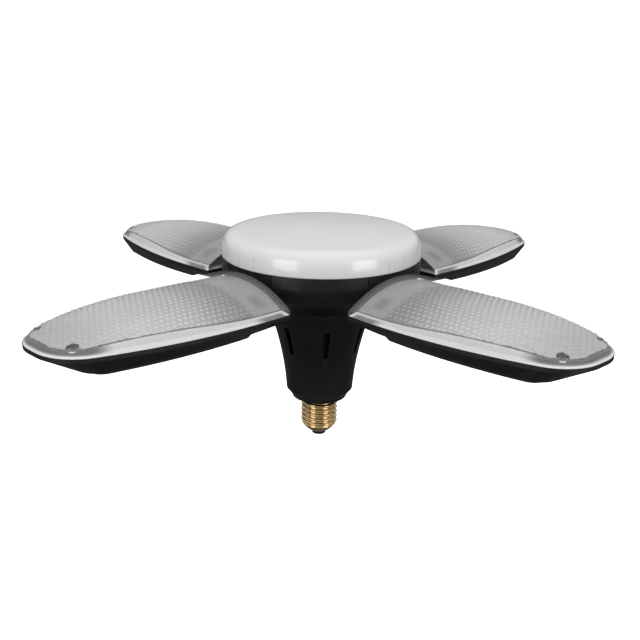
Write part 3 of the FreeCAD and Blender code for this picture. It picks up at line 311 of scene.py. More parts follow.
class Surface:
    """A Principled material with object-space noise behind its colour, roughness and bump."""

    def __init__(self, name, colour, roughness, **sockets):
        self.material = bpy.data.materials.new(name)
        self.tree = node_tree(self.material)
        self.shader = self.add("ShaderNodeBsdfPrincipled")
        output = self.add("ShaderNodeOutputMaterial")
        self.join(self.shader.outputs[0], output.inputs["Surface"])
        self.shader.inputs["Base Color"].default_value = (*colour, 1)
        self.shader.inputs["Roughness"].default_value = roughness
        for socket, value in sockets.items():
            self.shader.inputs[socket.replace("_", " ")].default_value = value
        self.place = self.add("ShaderNodeTexCoord").outputs["Object"]

    def add(self, kind):
        """A new node of the kind in the material's tree."""
        return self.tree.nodes.new(kind)

    def join(self, start, end):
        """A link from an output socket to an input socket."""
        self.tree.links.new(start, end)

    def noise(self, scale, detail=2.0, stretch=(1, 1, 1)):
        """Noise of the given scale per metre, as a value from about 0 to 1."""
        mapping = self.add("ShaderNodeMapping")
        mapping.inputs["Scale"].default_value = stretch
        self.join(self.place, mapping.inputs["Vector"])
        texture = self.add("ShaderNodeTexNoise")
        texture.inputs["Scale"].default_value = scale
        texture.inputs["Detail"].default_value = detail
        self.join(mapping.outputs["Vector"], texture.inputs["Vector"])
        return texture.outputs["Fac"]

    def stored(self, name):
        """A value that the mesh carries at its vertices."""
        node = self.add("ShaderNodeAttribute")
        node.attribute_name = name
        return node.outputs["Fac"]

    def ranged(self, value, low, high, span=NOISE_MIDDLE):
        """The value mapped from its span to the range from low to high, held at its ends."""
        node = self.add("ShaderNodeMapRange")
        node.inputs["From Min"].default_value = span[0]
        node.inputs["From Max"].default_value = span[1]
        node.inputs["To Min"].default_value = low
        node.inputs["To Max"].default_value = high
        self.join(value, node.inputs["Value"])
        return node.outputs["Result"]

    def mixed(self, factor, first, second):
        """A colour between two, each a colour or a socket."""
        node = self.add("ShaderNodeMix")
        node.data_type = "RGBA"
        self.join(factor, node.inputs["Factor"])
        for socket, value in (("A", first), ("B", second)):
            target = [s for s in node.inputs if s.name == socket and s.type == "RGBA"][0]
            if isinstance(value, bpy.types.NodeSocket):
                self.join(value, target)
            else:
                target.default_value = (*value, 1)
        return [s for s in node.outputs if s.type == "RGBA"][0]

    def scaled(self, socket, factor):
        """A socket's value times a number."""
        node = self.add("ShaderNodeMath")
        node.operation = "MULTIPLY"
        self.join(socket, node.inputs[0])
        node.inputs[1].default_value = factor
        return node.outputs[0]

    def colour(self, socket):
        """The socket as the base colour."""
        self.join(socket, self.shader.inputs["Base Color"])

    def roughness(self, socket):
        """The socket as the roughness."""
        self.join(socket, self.shader.inputs["Roughness"])

    def raised(self, height, distance, strength):
        """Bump by a height from 0 to 1 over the distance in metres."""
        node = self.add("ShaderNodeBump")
        node.inputs["Distance"].default_value = distance
        node.inputs["Strength"].default_value = strength
        self.join(height, node.inputs["Height"])
        self.join(node.outputs["Normal"], self.shader.inputs["Normal"])

    def edge_wear(self, amount):
        """The amount on convex edges and 0 elsewhere."""
        geometry = self.add("ShaderNodeNewGeometry")
        return self.scaled(self.ranged(geometry.outputs["Pointiness"], 0, 1, WEAR_POINTINESS), amount)


def moulded_surface(name, dark, light, roughness, grain=GRAIN_SCALE, grain_depth=GRAIN_DEPTH, **sockets):
    """Moulded or coated surface: faint mottling, fine grain and light edge wear."""
    surface = Surface(name, dark, roughness, **sockets)
    mottle = surface.noise(MOTTLE_SCALE, MOTTLE_DETAIL)
    tone = surface.mixed(surface.ranged(mottle, 0, 1), dark, light)
    worn = [min(1.0, WEAR_GAIN * c + WEAR_LIFT) for c in light]
    surface.colour(surface.mixed(surface.edge_wear(WEAR_AMOUNT), tone, worn))
    smoother, rougher = MOTTLE_ROUGHNESS
    surface.roughness(surface.ranged(mottle, roughness + smoother, roughness + rougher))
    surface.raised(surface.noise(grain, detail=1.0), grain_depth, GRAIN_STRENGTH)
    return surface


def moulded(*look, **sockets):
    """The material of a moulded surface."""
    return moulded_surface(*look, **sockets).material


def metal(name, dark, light, roughness):
    """Bare metal: smudges and fine drawn scratches."""
    surface = Surface(name, dark, roughness, Metallic=1.0)
    smudge = surface.noise(SMUDGE_SCALE, MOTTLE_DETAIL)
    lines = surface.noise(SCRATCH_SCALE, stretch=SCRATCH_STRETCH)
    surface.colour(surface.mixed(surface.ranged(smudge, 0, 1), dark, light))
    smoother, rougher = SMUDGE_ROUGHNESS
    surface.roughness(surface.ranged(smudge, roughness + smoother, roughness + rougher))
    surface.raised(lines, FINE_DEPTH, SCRATCH_STRENGTH)
    return surface.material


BLACK_PLASTIC = moulded(
    "black_moulded_plastic", (0.0062, 0.0062, 0.0064), (0.0088, 0.0088, 0.0091), 0.38,
    Specular_IOR_Level=0.26)
BLACK_COATED = moulded(
    "black_coated_aluminium", (0.006, 0.006, 0.0063), (0.009, 0.009, 0.0095), 0.34,
    grain=3400.0, Specular_IOR_Level=0.32)
BLACK_GLASS = moulded(
    "black_insulator", (0.006, 0.006, 0.007), (0.010, 0.010, 0.012), 0.22,
    grain=1500.0, grain_depth=FINE_DEPTH, Specular_IOR_Level=0.25)
COMPONENT_BLACK = moulded("component_black", (0.012, 0.012, 0.013), (0.02, 0.02, 0.021), 0.5)
DARK_STEEL = metal("dark_steel", (0.05, 0.05, 0.055), (0.12, 0.12, 0.125), 0.34)
BRIGHT_STEEL = metal("bright_steel", (0.42, 0.42, 0.43), (0.62, 0.62, 0.63), 0.26)
BARE_ALUMINIUM = metal("bare_aluminium", (0.55, 0.55, 0.56), (0.72, 0.72, 0.73), 0.36)
BLACK_SLEEVE = moulded("black_sleeve", (0.006, 0.006, 0.007), (0.010, 0.010, 0.011), 0.5)
GREEN_BOARD = moulded("green_board", (0.015, 0.09, 0.03), (0.025, 0.13, 0.045), 0.32)
FERRITE = moulded("ferrite_and_winding", (0.035, 0.033, 0.033), (0.06, 0.056, 0.055), 0.55)
CAPACITOR_SLEEVE = moulded("capacitor_sleeve", (0.012, 0.016, 0.05), (0.02, 0.028, 0.08), 0.3)
RED_WIRE = moulded("red_insulation", (0.42, 0.012, 0.01), (0.52, 0.02, 0.016), 0.4)
WHITE_WIRE = moulded("white_insulation", (0.64, 0.64, 0.63), (0.74, 0.74, 0.73), 0.4)
WHITE_BOARD = moulded("white_solder_mask", (0.62, 0.63, 0.64), (0.70, 0.71, 0.72), 0.35)


def fuse_glass():
    """Clear glass tube with slightly wavy walls."""
    surface = Surface("fuse_glass", (0.85, 0.88, 0.88), 0.06, Alpha=0.45)
    surface.raised(surface.noise(scale=300.0), distance=FINE_DEPTH, strength=0.3)
    return surface.material


PACKAGE_DARK = (0.76, 0.76, 0.73)
PACKAGE_LIGHT = (0.84, 0.84, 0.81)
PHOSPHOR_DARK = (0.80, 0.60, 0.07)
PHOSPHOR_LIGHT = (0.88, 0.72, 0.14)
PHOSPHOR_GRAIN = 900.0
FACE_UPWARD = (0.5, 0.8)


def led_package():
    """White package sides with a yellow phosphor face on top."""
    surface = moulded_surface("led_package", PACKAGE_DARK, PACKAGE_LIGHT, 0.36)
    upward = surface.add("ShaderNodeSeparateXYZ")
    face = surface.add("ShaderNodeTexCoord").outputs["Normal"]
    surface.join(face, upward.inputs[0])
    grain = surface.ranged(surface.noise(PHOSPHOR_GRAIN), 0, 1)
    mottle = surface.ranged(surface.noise(MOTTLE_SCALE, MOTTLE_DETAIL), 0, 1)
    phosphor = surface.mixed(grain, PHOSPHOR_DARK, PHOSPHOR_LIGHT)
    body = surface.mixed(mottle, PACKAGE_DARK, PACKAGE_LIGHT)
    surface.colour(surface.mixed(surface.ranged(upward.outputs["Z"], 0, 1, FACE_UPWARD), body, phosphor))
    return surface.material


BRASS_BRIGHT = (0.80, 0.60, 0.34)
BRASS_TARNISHED = (0.62, 0.44, 0.22)
BRASS_RUBBED = (0.92, 0.76, 0.50)


def brass():
    """Brass with tarnish in patches, rubbed edges and fine turning lines."""
    surface = Surface("cap_brass", (0.72, 0.47, 0.20), 0.22, Metallic=1.0)
    patches = surface.noise(scale=90.0, detail=4.0)
    lines = surface.noise(scale=500.0, stretch=(1, 1, 14))
    tone = surface.mixed(surface.ranged(patches, 0, 1), BRASS_BRIGHT, BRASS_TARNISHED)
    surface.colour(surface.mixed(surface.edge_wear(amount=0.6), tone, BRASS_RUBBED))
    surface.roughness(surface.ranged(patches, low=0.17, high=0.25))
    surface.raised(lines, distance=0.006 * MM, strength=0.3)
    return surface.material


# the plastics of the covers: index of refraction, and the two tones of each one's cloudy pattern
COVER_IOR = 1.49
FROST_DARK = (0.605, 0.608, 0.612)
FROST_LIGHT = (0.635, 0.638, 0.643)
PRISM_DARK = (0.79, 0.793, 0.797)
PRISM_LIGHT = (0.85, 0.853, 0.857)
# dark end of the painted shade on the prism plastic
PRISM_SHADOW = (0.035, 0.035, 0.037)


def frosted_cover():
    """Milky light-diffusing plastic with very fine etched grain."""
    surface = Surface(
        "frosted_diffuser", (0.62, 0.623, 0.628), 0.22,
        IOR=COVER_IOR, Coat_Weight=0.6, Coat_Roughness=0.03, Specular_IOR_Level=0.3)
    cloud = surface.noise(scale=18.0)
    surface.colour(surface.mixed(surface.ranged(cloud, 0, 1), FROST_DARK, FROST_LIGHT))
    surface.roughness(surface.ranged(cloud, low=0.20, high=0.28))
    surface.raised(surface.noise(scale=4200.0, detail=1.0), distance=FINE_DEPTH, strength=0.25)
    return surface.material


def clear_cover():
    """Clear moulded plastic, thin enough to see the pieces under it."""
    surface = Surface(
        "clear_moulded_cover", (0.45, 0.455, 0.46), 0.06,
        IOR=COVER_IOR, Alpha=0.13, Specular_IOR_Level=1.0)
    flow = surface.noise(scale=25.0, stretch=(1, 1, 0.4))
    surface.roughness(surface.ranged(flow, low=0.05, high=0.11))
    surface.raised(flow, distance=0.15 * MM, strength=0.25)
    return surface.material


def prism_plastic():
    """Satin light-spreading plastic under the clear cover, mixed towards the shadow colour by the painted
    shade stored at its vertices.
    """
    surface = Surface("prism_sheet", (0.52, 0.53, 0.54), 0.24, IOR=COVER_IOR, Specular_IOR_Level=0.6)
    cloud = surface.noise(scale=22.0)
    light = surface.mixed(surface.ranged(cloud, 0, 1), PRISM_DARK, PRISM_LIGHT)
    surface.colour(surface.mixed(surface.stored("shade"), PRISM_SHADOW, light))
    surface.roughness(surface.ranged(cloud, low=0.20, high=0.30))
    return surface.material


BRASS = brass()
FROSTED = frosted_cover()
CLEAR = clear_cover()
PRISM = prism_plastic()
FUSE_GLASS = fuse_glass()
LED_PACKAGE = led_package()

NODE_MATERIALS = {
    "cap_shell": BRASS,
    "cap_insulator": BLACK_GLASS,
    "centre_contact": BRASS,
    "driver_housing": BLACK_PLASTIC,
    "hub_shell": BLACK_PLASTIC,
    "hub_screws": DARK_STEEL,
    "centre_lens": FROSTED,
    "heat_disc": BARE_ALUMINIUM,
    "centre_led_board": WHITE_BOARD,
    "centre_leds": LED_PACKAGE,
    "board_screws": BRIGHT_STEEL,
    "driver_sleeve": BLACK_SLEEVE,
    "driver_board": GREEN_BOARD,
    "driver_transformer": FERRITE,
    "driver_capacitors": CAPACITOR_SLEEVE,
    "driver_rectifier": COMPONENT_BLACK,
    "driver_fuse": FUSE_GLASS,
    "live_wire": RED_WIRE,
    "neutral_wire": WHITE_WIRE,
    "output_leads": RED_WIRE,
    "friction_washers": BRIGHT_STEEL,
    "hinge_nuts": DARK_STEEL,
}
LEAF_NODE_MATERIALS = {
    "leaf_lens": CLEAR,
    "leaf_tray": BLACK_PLASTIC,
    "heat_plate": BLACK_COATED,
    "leaf_led_board": WHITE_BOARD,
    "leaf_leds": LED_PACKAGE,
    "hinge_arm": BLACK_COATED,
    "hinge_pin": DARK_STEEL,
    "tip_screws": DARK_STEEL,
    "arm_screws": DARK_STEEL,
}
for leaf in LEAVES:
    for stem, material in LEAF_NODE_MATERIALS.items():
        NODE_MATERIALS[f"{stem}_{leaf}"] = material
for name, material in NODE_MATERIALS.items():
    for place in NODES[name].material_slots:
        place.material = material

# rounded edges that catch the light
EDGE_ROUND = 0.35 * MM
EDGE_ANGLE = math.radians(38)
ROUNDED_STEMS = ("heat_plate", "leaf_tray")


def round_edges(node):
    """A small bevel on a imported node's sharp edges, made by a modifier."""
    bevel = NODES[node].modifiers.new("edge_round", "BEVEL")
    bevel.width = EDGE_ROUND
    bevel.segments = 2
    bevel.limit_method = "ANGLE"
    bevel.angle_limit = EDGE_ANGLE
    bevel.harden_normals = True


for leaf in LEAVES:
    for stem in ROUNDED_STEMS:
        round_edges(f"{stem}_{leaf}")

# ---------------------------------------------------------------- mesh helpers


def piece(name, vertices, faces, material, smooth=True):
    """A new object in the scene with its mesh and material."""
    mesh = bpy.data.meshes.new(name)
    mesh.from_pydata(vertices, [], faces)
    mesh.validate()
    mesh.materials.append(material)
    if smooth:
        mesh.shade_smooth()
    else:
        mesh.shade_flat()
    made = bpy.data.objects.new(name, mesh)
    bpy.context.scene.collection.objects.link(made)
    return made


def set_painted_light_and_shade(made, values):
    """Store the painted light and shade at each vertex, from 0 for dark to 1 for light."""
    attribute = made.data.attributes.new("shade", "FLOAT", "POINT")
    attribute.data.foreach_set("value", values)


def quad(start, first, second):
    """Four corners of a face: the start vertex and those the two steps lead to."""
    return start, start + first, start + first + second, start + second


def smooth_step(value, low, high):
    """0 below low, 1 above high, and a smooth rise between them."""
    share = min(1.0, max(0.0, (value - low) / (high - low)))
    return share * share * (3 - 2 * share)


def plateau(value, start, end, rise, fall):
    """1 between start and end, with a smooth rise after the start and a smooth fall before the end."""
    return smooth_step(value, start, start + rise) * (1 - smooth_step(value, end - fall, end))


def bow(share):
    """0 at a share of 0 and of 1, and 1 half way between them."""
    return 4 * share * (1 - share)


def copies_on_leaves(made):
    """The piece made for leaf 1 as NAME_1 to NAME_4, each riding on its own leaf."""
    stem = made.name
    mesh = made.data
    bpy.data.objects.remove(made)
    for leaf in LEAVES:
        copy = bpy.data.objects.new(f"{stem}_{leaf}", mesh)
        copy.rotation_euler = (0, 0, QUARTER_TURN * (leaf - 1))
        bpy.context.scene.collection.objects.link(copy)
        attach(copy, f"leaf_{leaf}")


# ---------------------------------------------------------------- leaf shape


def leaf_edge(inset):
    """Facts of the leaf outline moved in by inset: side circle, corner circle and ends."""
    side_centre = LEAF_HALF_WIDTH - LEAF_SIDE_RADIUS
    side_radius = LEAF_SIDE_RADIUS - inset
    corner_radius = LEAF_CORNER_RADIUS - inset
    corner_u = LEAF_TIP - inset - corner_radius
    reach = corner_u - LEAF_WIDEST
    corner_v = side_centre + math.sqrt((side_radius - corner_radius) ** 2 - reach ** 2)
    return side_centre, side_radius, corner_radius, corner_u, corner_v


def half_width(u, inset):
    """Half the leaf's width at the distance u from the lamp's axis, for the outline moved in by inset."""
    side_centre, side_radius, corner_radius, corner_u, corner_v = leaf_edge(inset)
    beyond = u - corner_u
    touch = corner_radius * (corner_u - LEAF_WIDEST) / (side_radius - corner_radius)
    if beyond > touch:
        return corner_v + math.sqrt(max(0.0, corner_radius ** 2 - beyond ** 2))
    return side_centre + math.sqrt(side_radius ** 2 - (u - LEAF_WIDEST) ** 2)


def dome_height(u, v, inset):
    """Height of the lens's domed surface moved in by inset."""
    beyond = max(0.0, u - (LEAF_TIP - DOME_FALL_LENGTH))
    fall_radius = (DOME_FALL_LENGTH ** 2 + DOME_FALL ** 2) / (2 * DOME_FALL)
    crown = LENS_CROWN - (fall_radius - math.sqrt(fall_radius ** 2 - beyond ** 2))
    length = LEAF_TIP - DOME_FALL_LENGTH - LEAF_INNER
    share = min(1.0, max(0.0, (u - LEAF_INNER) / length))
    radius = DOME_INNER_SECTION_RADIUS + share * (DOME_OUTER_SECTION_RADIUS - DOME_INNER_SECTION_RADIUS)
    radius -= inset
    return SEAM + crown - inset - (radius - math.sqrt(radius ** 2 - v ** 2))


# ---------------------------------------------------------------- prism sheet under each leaf lens

SHEET_EDGE_INSET = 4.2 * MM
SHEET_DEPTH = 2.9 * MM
CELL_PITCH = 4.12 * MM
CELL_HEIGHT = 0.6 * MM
CELLS_START = 24.0 * MM
CELLS_FADE = 6.0 * MM
# painted shade in the gaps between the cells, strongest near the hub
CELL_CONTRAST_NEAR = 0.66
CELL_CONTRAST_FAR = 0.18
CONTRAST_LENGTH = 90.0 * MM
# painted shade: darker in the plain zone near the hub and towards the tip
PLAIN_SHADE = 0.40
SHEET_SHADE = 0.76
TIP_FALL = (100.0 * MM, 140.0 * MM)
TIP_SHADE = 0.74
SHEET_STEP = 0.62 * MM
# painted shade line along the sheet's rim
RIM_LINE = 0.9 * MM
RIM_SHADE = 0.04
# painted shade in two patches where the dark parts under the sheet show through
PATCH_ALONG = (9.0 * MM, 23.0 * MM)
PATCH_ALONG_FADE = 6.0 * MM
PATCH_SIDES = (0.55, 0.92)
PATCH_SIDE_FADE = 0.12
PATCH_DARKENING = 0.5
BOSS_CLEARANCE = 0.5 * MM
CELL_DIRECTIONS = (30, 90, 150)

# lowest and highest sum of the three waves that make the cells
WAVES_LOW = -1.5
WAVES_HIGH = 3.0


def cell_bump(u, v):
    """Height from 0 to 1 of a six-sided field of round bumps."""
    total = 0.0
    wave = 4 * math.pi / (math.sqrt(3) * CELL_PITCH)
    for angle in CELL_DIRECTIONS:
        direction = math.radians(angle)
        total += math.cos(wave * (u * math.cos(direction) + v * math.sin(direction)))
    return (total - WAVES_LOW) / (WAVES_HIGH - WAVES_LOW)


def sheet_painted_shade(u, side, rim_distance):
    """Lightness of the sheet without its cells, with painted shade: darker near hub and tip, in two patches
    where the dark parts under it show through, and in a line at the rim.
    """
    along = u - LEAF_INNER
    patterned = smooth_step(along, CELLS_START, CELLS_START + CONTRAST_LENGTH / 2)
    shade = PLAIN_SHADE + (1 - PLAIN_SHADE) * patterned
    shade *= 1 - (1 - TIP_SHADE) * smooth_step(along, *TIP_FALL)
    show_through_shade = plateau(along, *PATCH_ALONG, PATCH_ALONG_FADE, PATCH_ALONG_FADE)
    show_through_shade *= plateau(side, *PATCH_SIDES, PATCH_SIDE_FADE, PATCH_SIDE_FADE)
    shade *= 1 - PATCH_DARKENING * show_through_shade
    if rim_distance < RIM_LINE:
        shade = RIM_SHADE
    return SHEET_SHADE * shade


def prism_sheet():
    """Thin sheet that follows the inside of the dome, with round bumps and with holes for the bosses."""
    first = LEAF_INNER + SHEET_EDGE_INSET
    last = LEAF_TIP - SHEET_EDGE_INSET
    rows = int((last - first) / SHEET_STEP)
    columns = int(2 * LEAF_HALF_WIDTH / SHEET_STEP)
    vertices = []
    painted_light_and_shade = []
    for i in range(rows + 1):
        u = first + (last - first) * i / rows
        half = half_width(u, SHEET_EDGE_INSET)
        along = u - LEAF_INNER
        strength = smooth_step(along, CELLS_START, CELLS_START + CELLS_FADE)
        far = smooth_step(along, CELLS_START, CELLS_START + CONTRAST_LENGTH)
        # how much painted shade falls in the gaps between the cells
        contrast = strength * (CELL_CONTRAST_NEAR + (CELL_CONTRAST_FAR - CELL_CONTRAST_NEAR) * far)
        for j in range(columns + 1):
            side = 2 * j / columns - 1
            v = half * side
            cell = cell_bump(u, v)
            vertices.append((u, v, dome_height(u, v, SHEET_DEPTH) + CELL_HEIGHT * strength * cell))
            rim_distance = min(half - abs(v), last - u)
            painted_light_and_shade.append(sheet_painted_shade(u, abs(side), rim_distance) * (1 - contrast * (1 - cell)))
    width = columns + 1
    faces = []
    for i in range(rows):
        for j in range(columns):
            start = i * width + j
            u, v, _ = vertices[start]
            if math.hypot(u - TIP_SCREW_U, abs(v) - TIP_SCREW_SIDE) > TIP_BOSS_RADIUS + BOSS_CLEARANCE:
                faces.append(quad(start, width, 1))
    made = piece("leaf_prism_sheet", vertices, faces, PRISM)
    set_painted_light_and_shade(made, painted_light_and_shade)
    return made


copies_on_leaves(prism_sheet())

# ---------------------------------------------------------------- light band inside each leaf lens wall

BAND_FOOT_INSET = 0.35 * MM
BAND_FOOT_RISE = 0.15 * MM
BAND_SIDE_STEPS = 160
BAND_CORNER_STEPS = 53
BAND_ROWS = 6
BAND_SHADE = 0.86

# where painted shade darkens the band: distances from the leaf's inner end and its tip, and shares of the
# band's height
STREAK_ALONG = (2.0 * MM, 30.0 * MM)
STREAK_RISE = 3.0 * MM
STREAK_FALL = 12.0 * MM
STREAK_TOP = (0.5, 0.85)
STREAK_DARKENING = 0.8
CORNER_FROM_TIP = (34.0 * MM, 20.0 * MM)
CORNER_BOTTOM = (0.25, 0.45)
CORNER_DARKENING = 0.95


def outline_points(inset):
    """Points round the leaf outline moved in by inset, from one inner corner round the tip to the other."""
    inner = LEAF_INNER + inset
    side_centre, side_radius, corner_radius, corner_u, corner_v = leaf_edge(inset)
    touch_angle = math.atan2(corner_v - side_centre, corner_u - LEAF_WIDEST)
    inner_angle = math.pi / 2 + math.asin((LEAF_WIDEST - inner) / side_radius)
    points = []
    for k in range(BAND_SIDE_STEPS + 1):
        angle = inner_angle + (touch_angle - inner_angle) * k / BAND_SIDE_STEPS
        points.append((
            LEAF_WIDEST + side_radius * math.cos(angle),
            side_centre + side_radius * math.sin(angle)))
    for k in range(1, BAND_CORNER_STEPS + 1):
        angle = touch_angle * (1 - k / BAND_CORNER_STEPS)
        points.append((
            corner_u + corner_radius * math.cos(angle),
            corner_v + corner_radius * math.sin(angle)))
    mirrored = [(u, -v) for u, v in reversed(points)]
    return points + mirrored


def band_painted_shade(u, share):
    """Lightness at a share of the band's height, with painted shade: dark below near the hub and dark above
    near the tip.
    """
    streak = plateau(u - LEAF_INNER, *STREAK_ALONG, STREAK_RISE, STREAK_FALL)
    streak *= 1 - smooth_step(share, *STREAK_TOP)
    start, end = CORNER_FROM_TIP
    corner = smooth_step(u, LEAF_TIP - start, LEAF_TIP - end) * smooth_step(share, *CORNER_BOTTOM)
    return BAND_SHADE * (1 - STREAK_DARKENING * streak) * (1 - CORNER_DARKENING * corner)


def light_band():
    """Sloping strip just inside the lens wall, open at the inner end."""
    foot = outline_points(BAND_FOOT_INSET)
    head = outline_points(SHEET_EDGE_INSET)
    foot_height = SEAM + BAND_FOOT_RISE
    vertices = []
    painted_light_and_shade = []
    for (foot_u, foot_v), (head_u, head_v) in zip(foot, head):
        head_height = dome_height(head_u, head_v, SHEET_DEPTH)
        for row in range(BAND_ROWS):
            share = row / (BAND_ROWS - 1)
            vertices.append((
                foot_u + share * (head_u - foot_u),
                foot_v + share * (head_v - foot_v),
                foot_height + share * (head_height - foot_height)))
            painted_light_and_shade.append(band_painted_shade(foot_u, share))
    faces = []
    for k in range(len(foot) - 1):
        for row in range(BAND_ROWS - 1):
            faces.append(quad(k * BAND_ROWS + row, 1, BAND_ROWS))
    made = piece("leaf_light_band", vertices, faces, PRISM)
    set_painted_light_and_shade(made, painted_light_and_shade)
    return made


copies_on_leaves(light_band())

# ---------------------------------------------------------------- boss sleeves round the tip screws

SLEEVE_GAP = 0.35 * MM
SLEEVE_OUTER = TIP_BOSS_RADIUS + SLEEVE_GAP
SLEEVE_TOP_GAP = 2.3 * MM
SLEEVE_SHADOW_SHARE = 0.55
SLEEVE_ROUND_DROP = 0.4 * MM
SLEEVE_ROUND_WIDTH = 0.25 * MM
SLEEVE_LIP_WIDTH = 0.7 * MM
SLEEVE_WALL = 0.9 * MM
SLEEVE_MOUTH_DEPTH = 0.5 * MM
SLEEVE_SEGMENTS = 40

# painted shade and highlight, from the outer foot up over the mouth and down to the inner foot
SLEEVE_SHADES = (0.35, 0.15, 0.75, 1.0, 0.3, 0.1, 0.05)


def boss_sleeves():
    """Two short tubes round a leaf's tip screws, with painted shade below and inside and a painted highlight
    at the mouth.
    """
    vertices = []
    faces = []
    painted_light_and_shade = []
    for side in (-1, 1):
        top = dome_height(TIP_SCREW_U + SLEEVE_OUTER, TIP_SCREW_SIDE + SLEEVE_OUTER, SLEEVE_TOP_GAP)
        foot = BOARD_HIGH.z
        profile = [
            (SLEEVE_OUTER, foot),
            (SLEEVE_OUTER, foot + SLEEVE_SHADOW_SHARE * (top - foot)),
            (SLEEVE_OUTER, top - SLEEVE_ROUND_DROP),
            (SLEEVE_OUTER - SLEEVE_ROUND_WIDTH, top),
            (SLEEVE_OUTER - SLEEVE_LIP_WIDTH, top),
            (SLEEVE_OUTER - SLEEVE_WALL, top - SLEEVE_MOUTH_DEPTH),
            (SLEEVE_OUTER - SLEEVE_WALL, foot)]
        sleeve, sleeve_faces = lathe(profile, SLEEVE_SEGMENTS)
        start = len(vertices)
        vertices += [(x + TIP_SCREW_U, y + side * TIP_SCREW_SIDE, z) for x, y, z in sleeve]
        faces += [tuple(start + k for k in face) for face in sleeve_faces]
        for shade in SLEEVE_SHADES:
            painted_light_and_shade += [shade] * SLEEVE_SEGMENTS
    made = piece("leaf_boss_sleeves", vertices, faces, PRISM)
    set_painted_light_and_shade(made, painted_light_and_shade)
    return made


copies_on_leaves(boss_sleeves())

# ---------------------------------------------------------------- screw thread of the cap

CAP_SKIRT_RADIUS = 12.4 * MM
THREAD_ROOT = 11.6 * MM
THREAD_CREST_EXTRA = 0.25 * MM
THREAD_CREST = CAP_CREST + THREAD_CREST_EXTRA
THREAD_START = 0.6 * MM
THREAD_END = 19.7 * MM
THREAD_PITCH = 3.629 * MM
THREAD_PHASE = 0.859
THREAD_FADE = 0.9 * MM
CAP_TAPER_END_RADIUS = 7.6 * MM
CAP_TAPER_BULGE = 0.4 * MM
CAP_WALL = 0.45 * MM
THREAD_ROW = 0.2 * MM
TAPER_ROWS = 16
CAP_SEGMENTS = 144


def thread_radius(angle, depth):
    """Outer radius of the cap at a depth under its rim, with one crest winding down round it."""
    threaded = smooth_step(depth, THREAD_START - THREAD_FADE, THREAD_START + THREAD_FADE)
    threaded *= 1 - smooth_step(depth, THREAD_END - THREAD_FADE, THREAD_END)
    phase = (depth - THREAD_START) / THREAD_PITCH - angle / (2 * math.pi) + THREAD_PHASE
    wave = (1 - math.cos(2 * math.pi * phase)) / 2
    radius = THREAD_ROOT + (THREAD_CREST - THREAD_ROOT) * wave
    return CAP_SKIRT_RADIUS + (radius - CAP_SKIRT_RADIUS) * threaded


def cap_thread():
    """Brass cap with its real helical thread, tapering to the insulator."""
    taper = CAP_HIGH.z - CAP_LOW.z - THREAD_END
    rows = [(THREAD_ROW * k, None) for k in range(int(THREAD_END / THREAD_ROW))]
    for k in range(TAPER_ROWS + 1):
        share = k / TAPER_ROWS
        radius = CAP_SKIRT_RADIUS + share * (CAP_TAPER_END_RADIUS - CAP_SKIRT_RADIUS)
        radius += bow(share) * CAP_TAPER_BULGE
        rows.append((THREAD_END + share * taper, radius))
    vertices = []
    for depth, radius in rows:
        for k in range(CAP_SEGMENTS):
            angle = 2 * math.pi * k / CAP_SEGMENTS
            here = thread_radius(angle, depth) if radius is None else radius
            vertices.append((here * math.cos(angle), here * math.sin(angle), CAP_HIGH.z - depth))
    downward = ring_faces(len(rows), CAP_SEGMENTS)
    faces = [(first, fourth, third, second) for first, second, third, fourth in downward]
    made = piece("cap_thread", vertices, faces, BRASS)
    wall = made.modifiers.new("wall", "SOLIDIFY")
    wall.thickness = CAP_WALL
    wall.offset = -1
    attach(made, "hub")
    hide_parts("cap_shell")


cap_thread()

# ---------------------------------------------------------------- centre lens

CENTRE_SEAT = CENTRE_LOW.z
LENS_WALL_DRAFT = 0.5 * MM
LENS_WALL_TOP_RADIUS = CENTRE_RADIUS - LENS_WALL_DRAFT
LENS_SIDE_HEIGHT = 9.0 * MM
LENS_SIDE_BULGE = 0.32 * MM
LENS_SHOULDER = 9.0 * MM
LENS_SHOULDER_RISE = 7.8 * MM
LENS_SHOULDER_BULGE = 2.2 * MM
LENS_CROWN_RISE = 1.7 * MM
POLE_WELD = 0.001 * MM
CENTRE_LENS_WALL = 2.2 * MM
CENTRE_SEGMENTS = 192
CURVE_STEPS = 14


def curved(start, end, bulge):
    """Points after start on the arc from start to end that stands off the chord by bulge, to its right."""
    across = end[0] - start[0]
    along = end[1] - start[1]
    length = math.hypot(across, along)
    points = []
    for k in range(1, CURVE_STEPS + 1):
        share = k / CURVE_STEPS
        stand = bow(share) * bulge
        points.append((
            start[0] + across * share + stand * along / length,
            start[1] + along * share - stand * across / length))
    return points


def centre_lens_profile(inset):
    """Outer side of the lens, moved in by inset: wall, rounded shoulder, and crown to the middle."""
    foot = (CENTRE_RADIUS - inset, CENTRE_SEAT)
    wall_top = (LENS_WALL_TOP_RADIUS - inset, CENTRE_SEAT + LENS_SIDE_HEIGHT)
    shoulder_top = (
        LENS_WALL_TOP_RADIUS - LENS_SHOULDER,
        CENTRE_SEAT + LENS_SIDE_HEIGHT + LENS_SHOULDER_RISE - inset)
    points = [foot]
    points += curved(foot, wall_top, LENS_SIDE_BULGE)
    points += curved(wall_top, shoulder_top, LENS_SHOULDER_BULGE)
    edge_radius, edge_height = shoulder_top
    for k in range(1, CURVE_STEPS + 1):
        radius = edge_radius * (1 - k / CURVE_STEPS)
        points.append((radius, edge_height + LENS_CROWN_RISE * (1 - (radius / edge_radius) ** 2)))
    return points


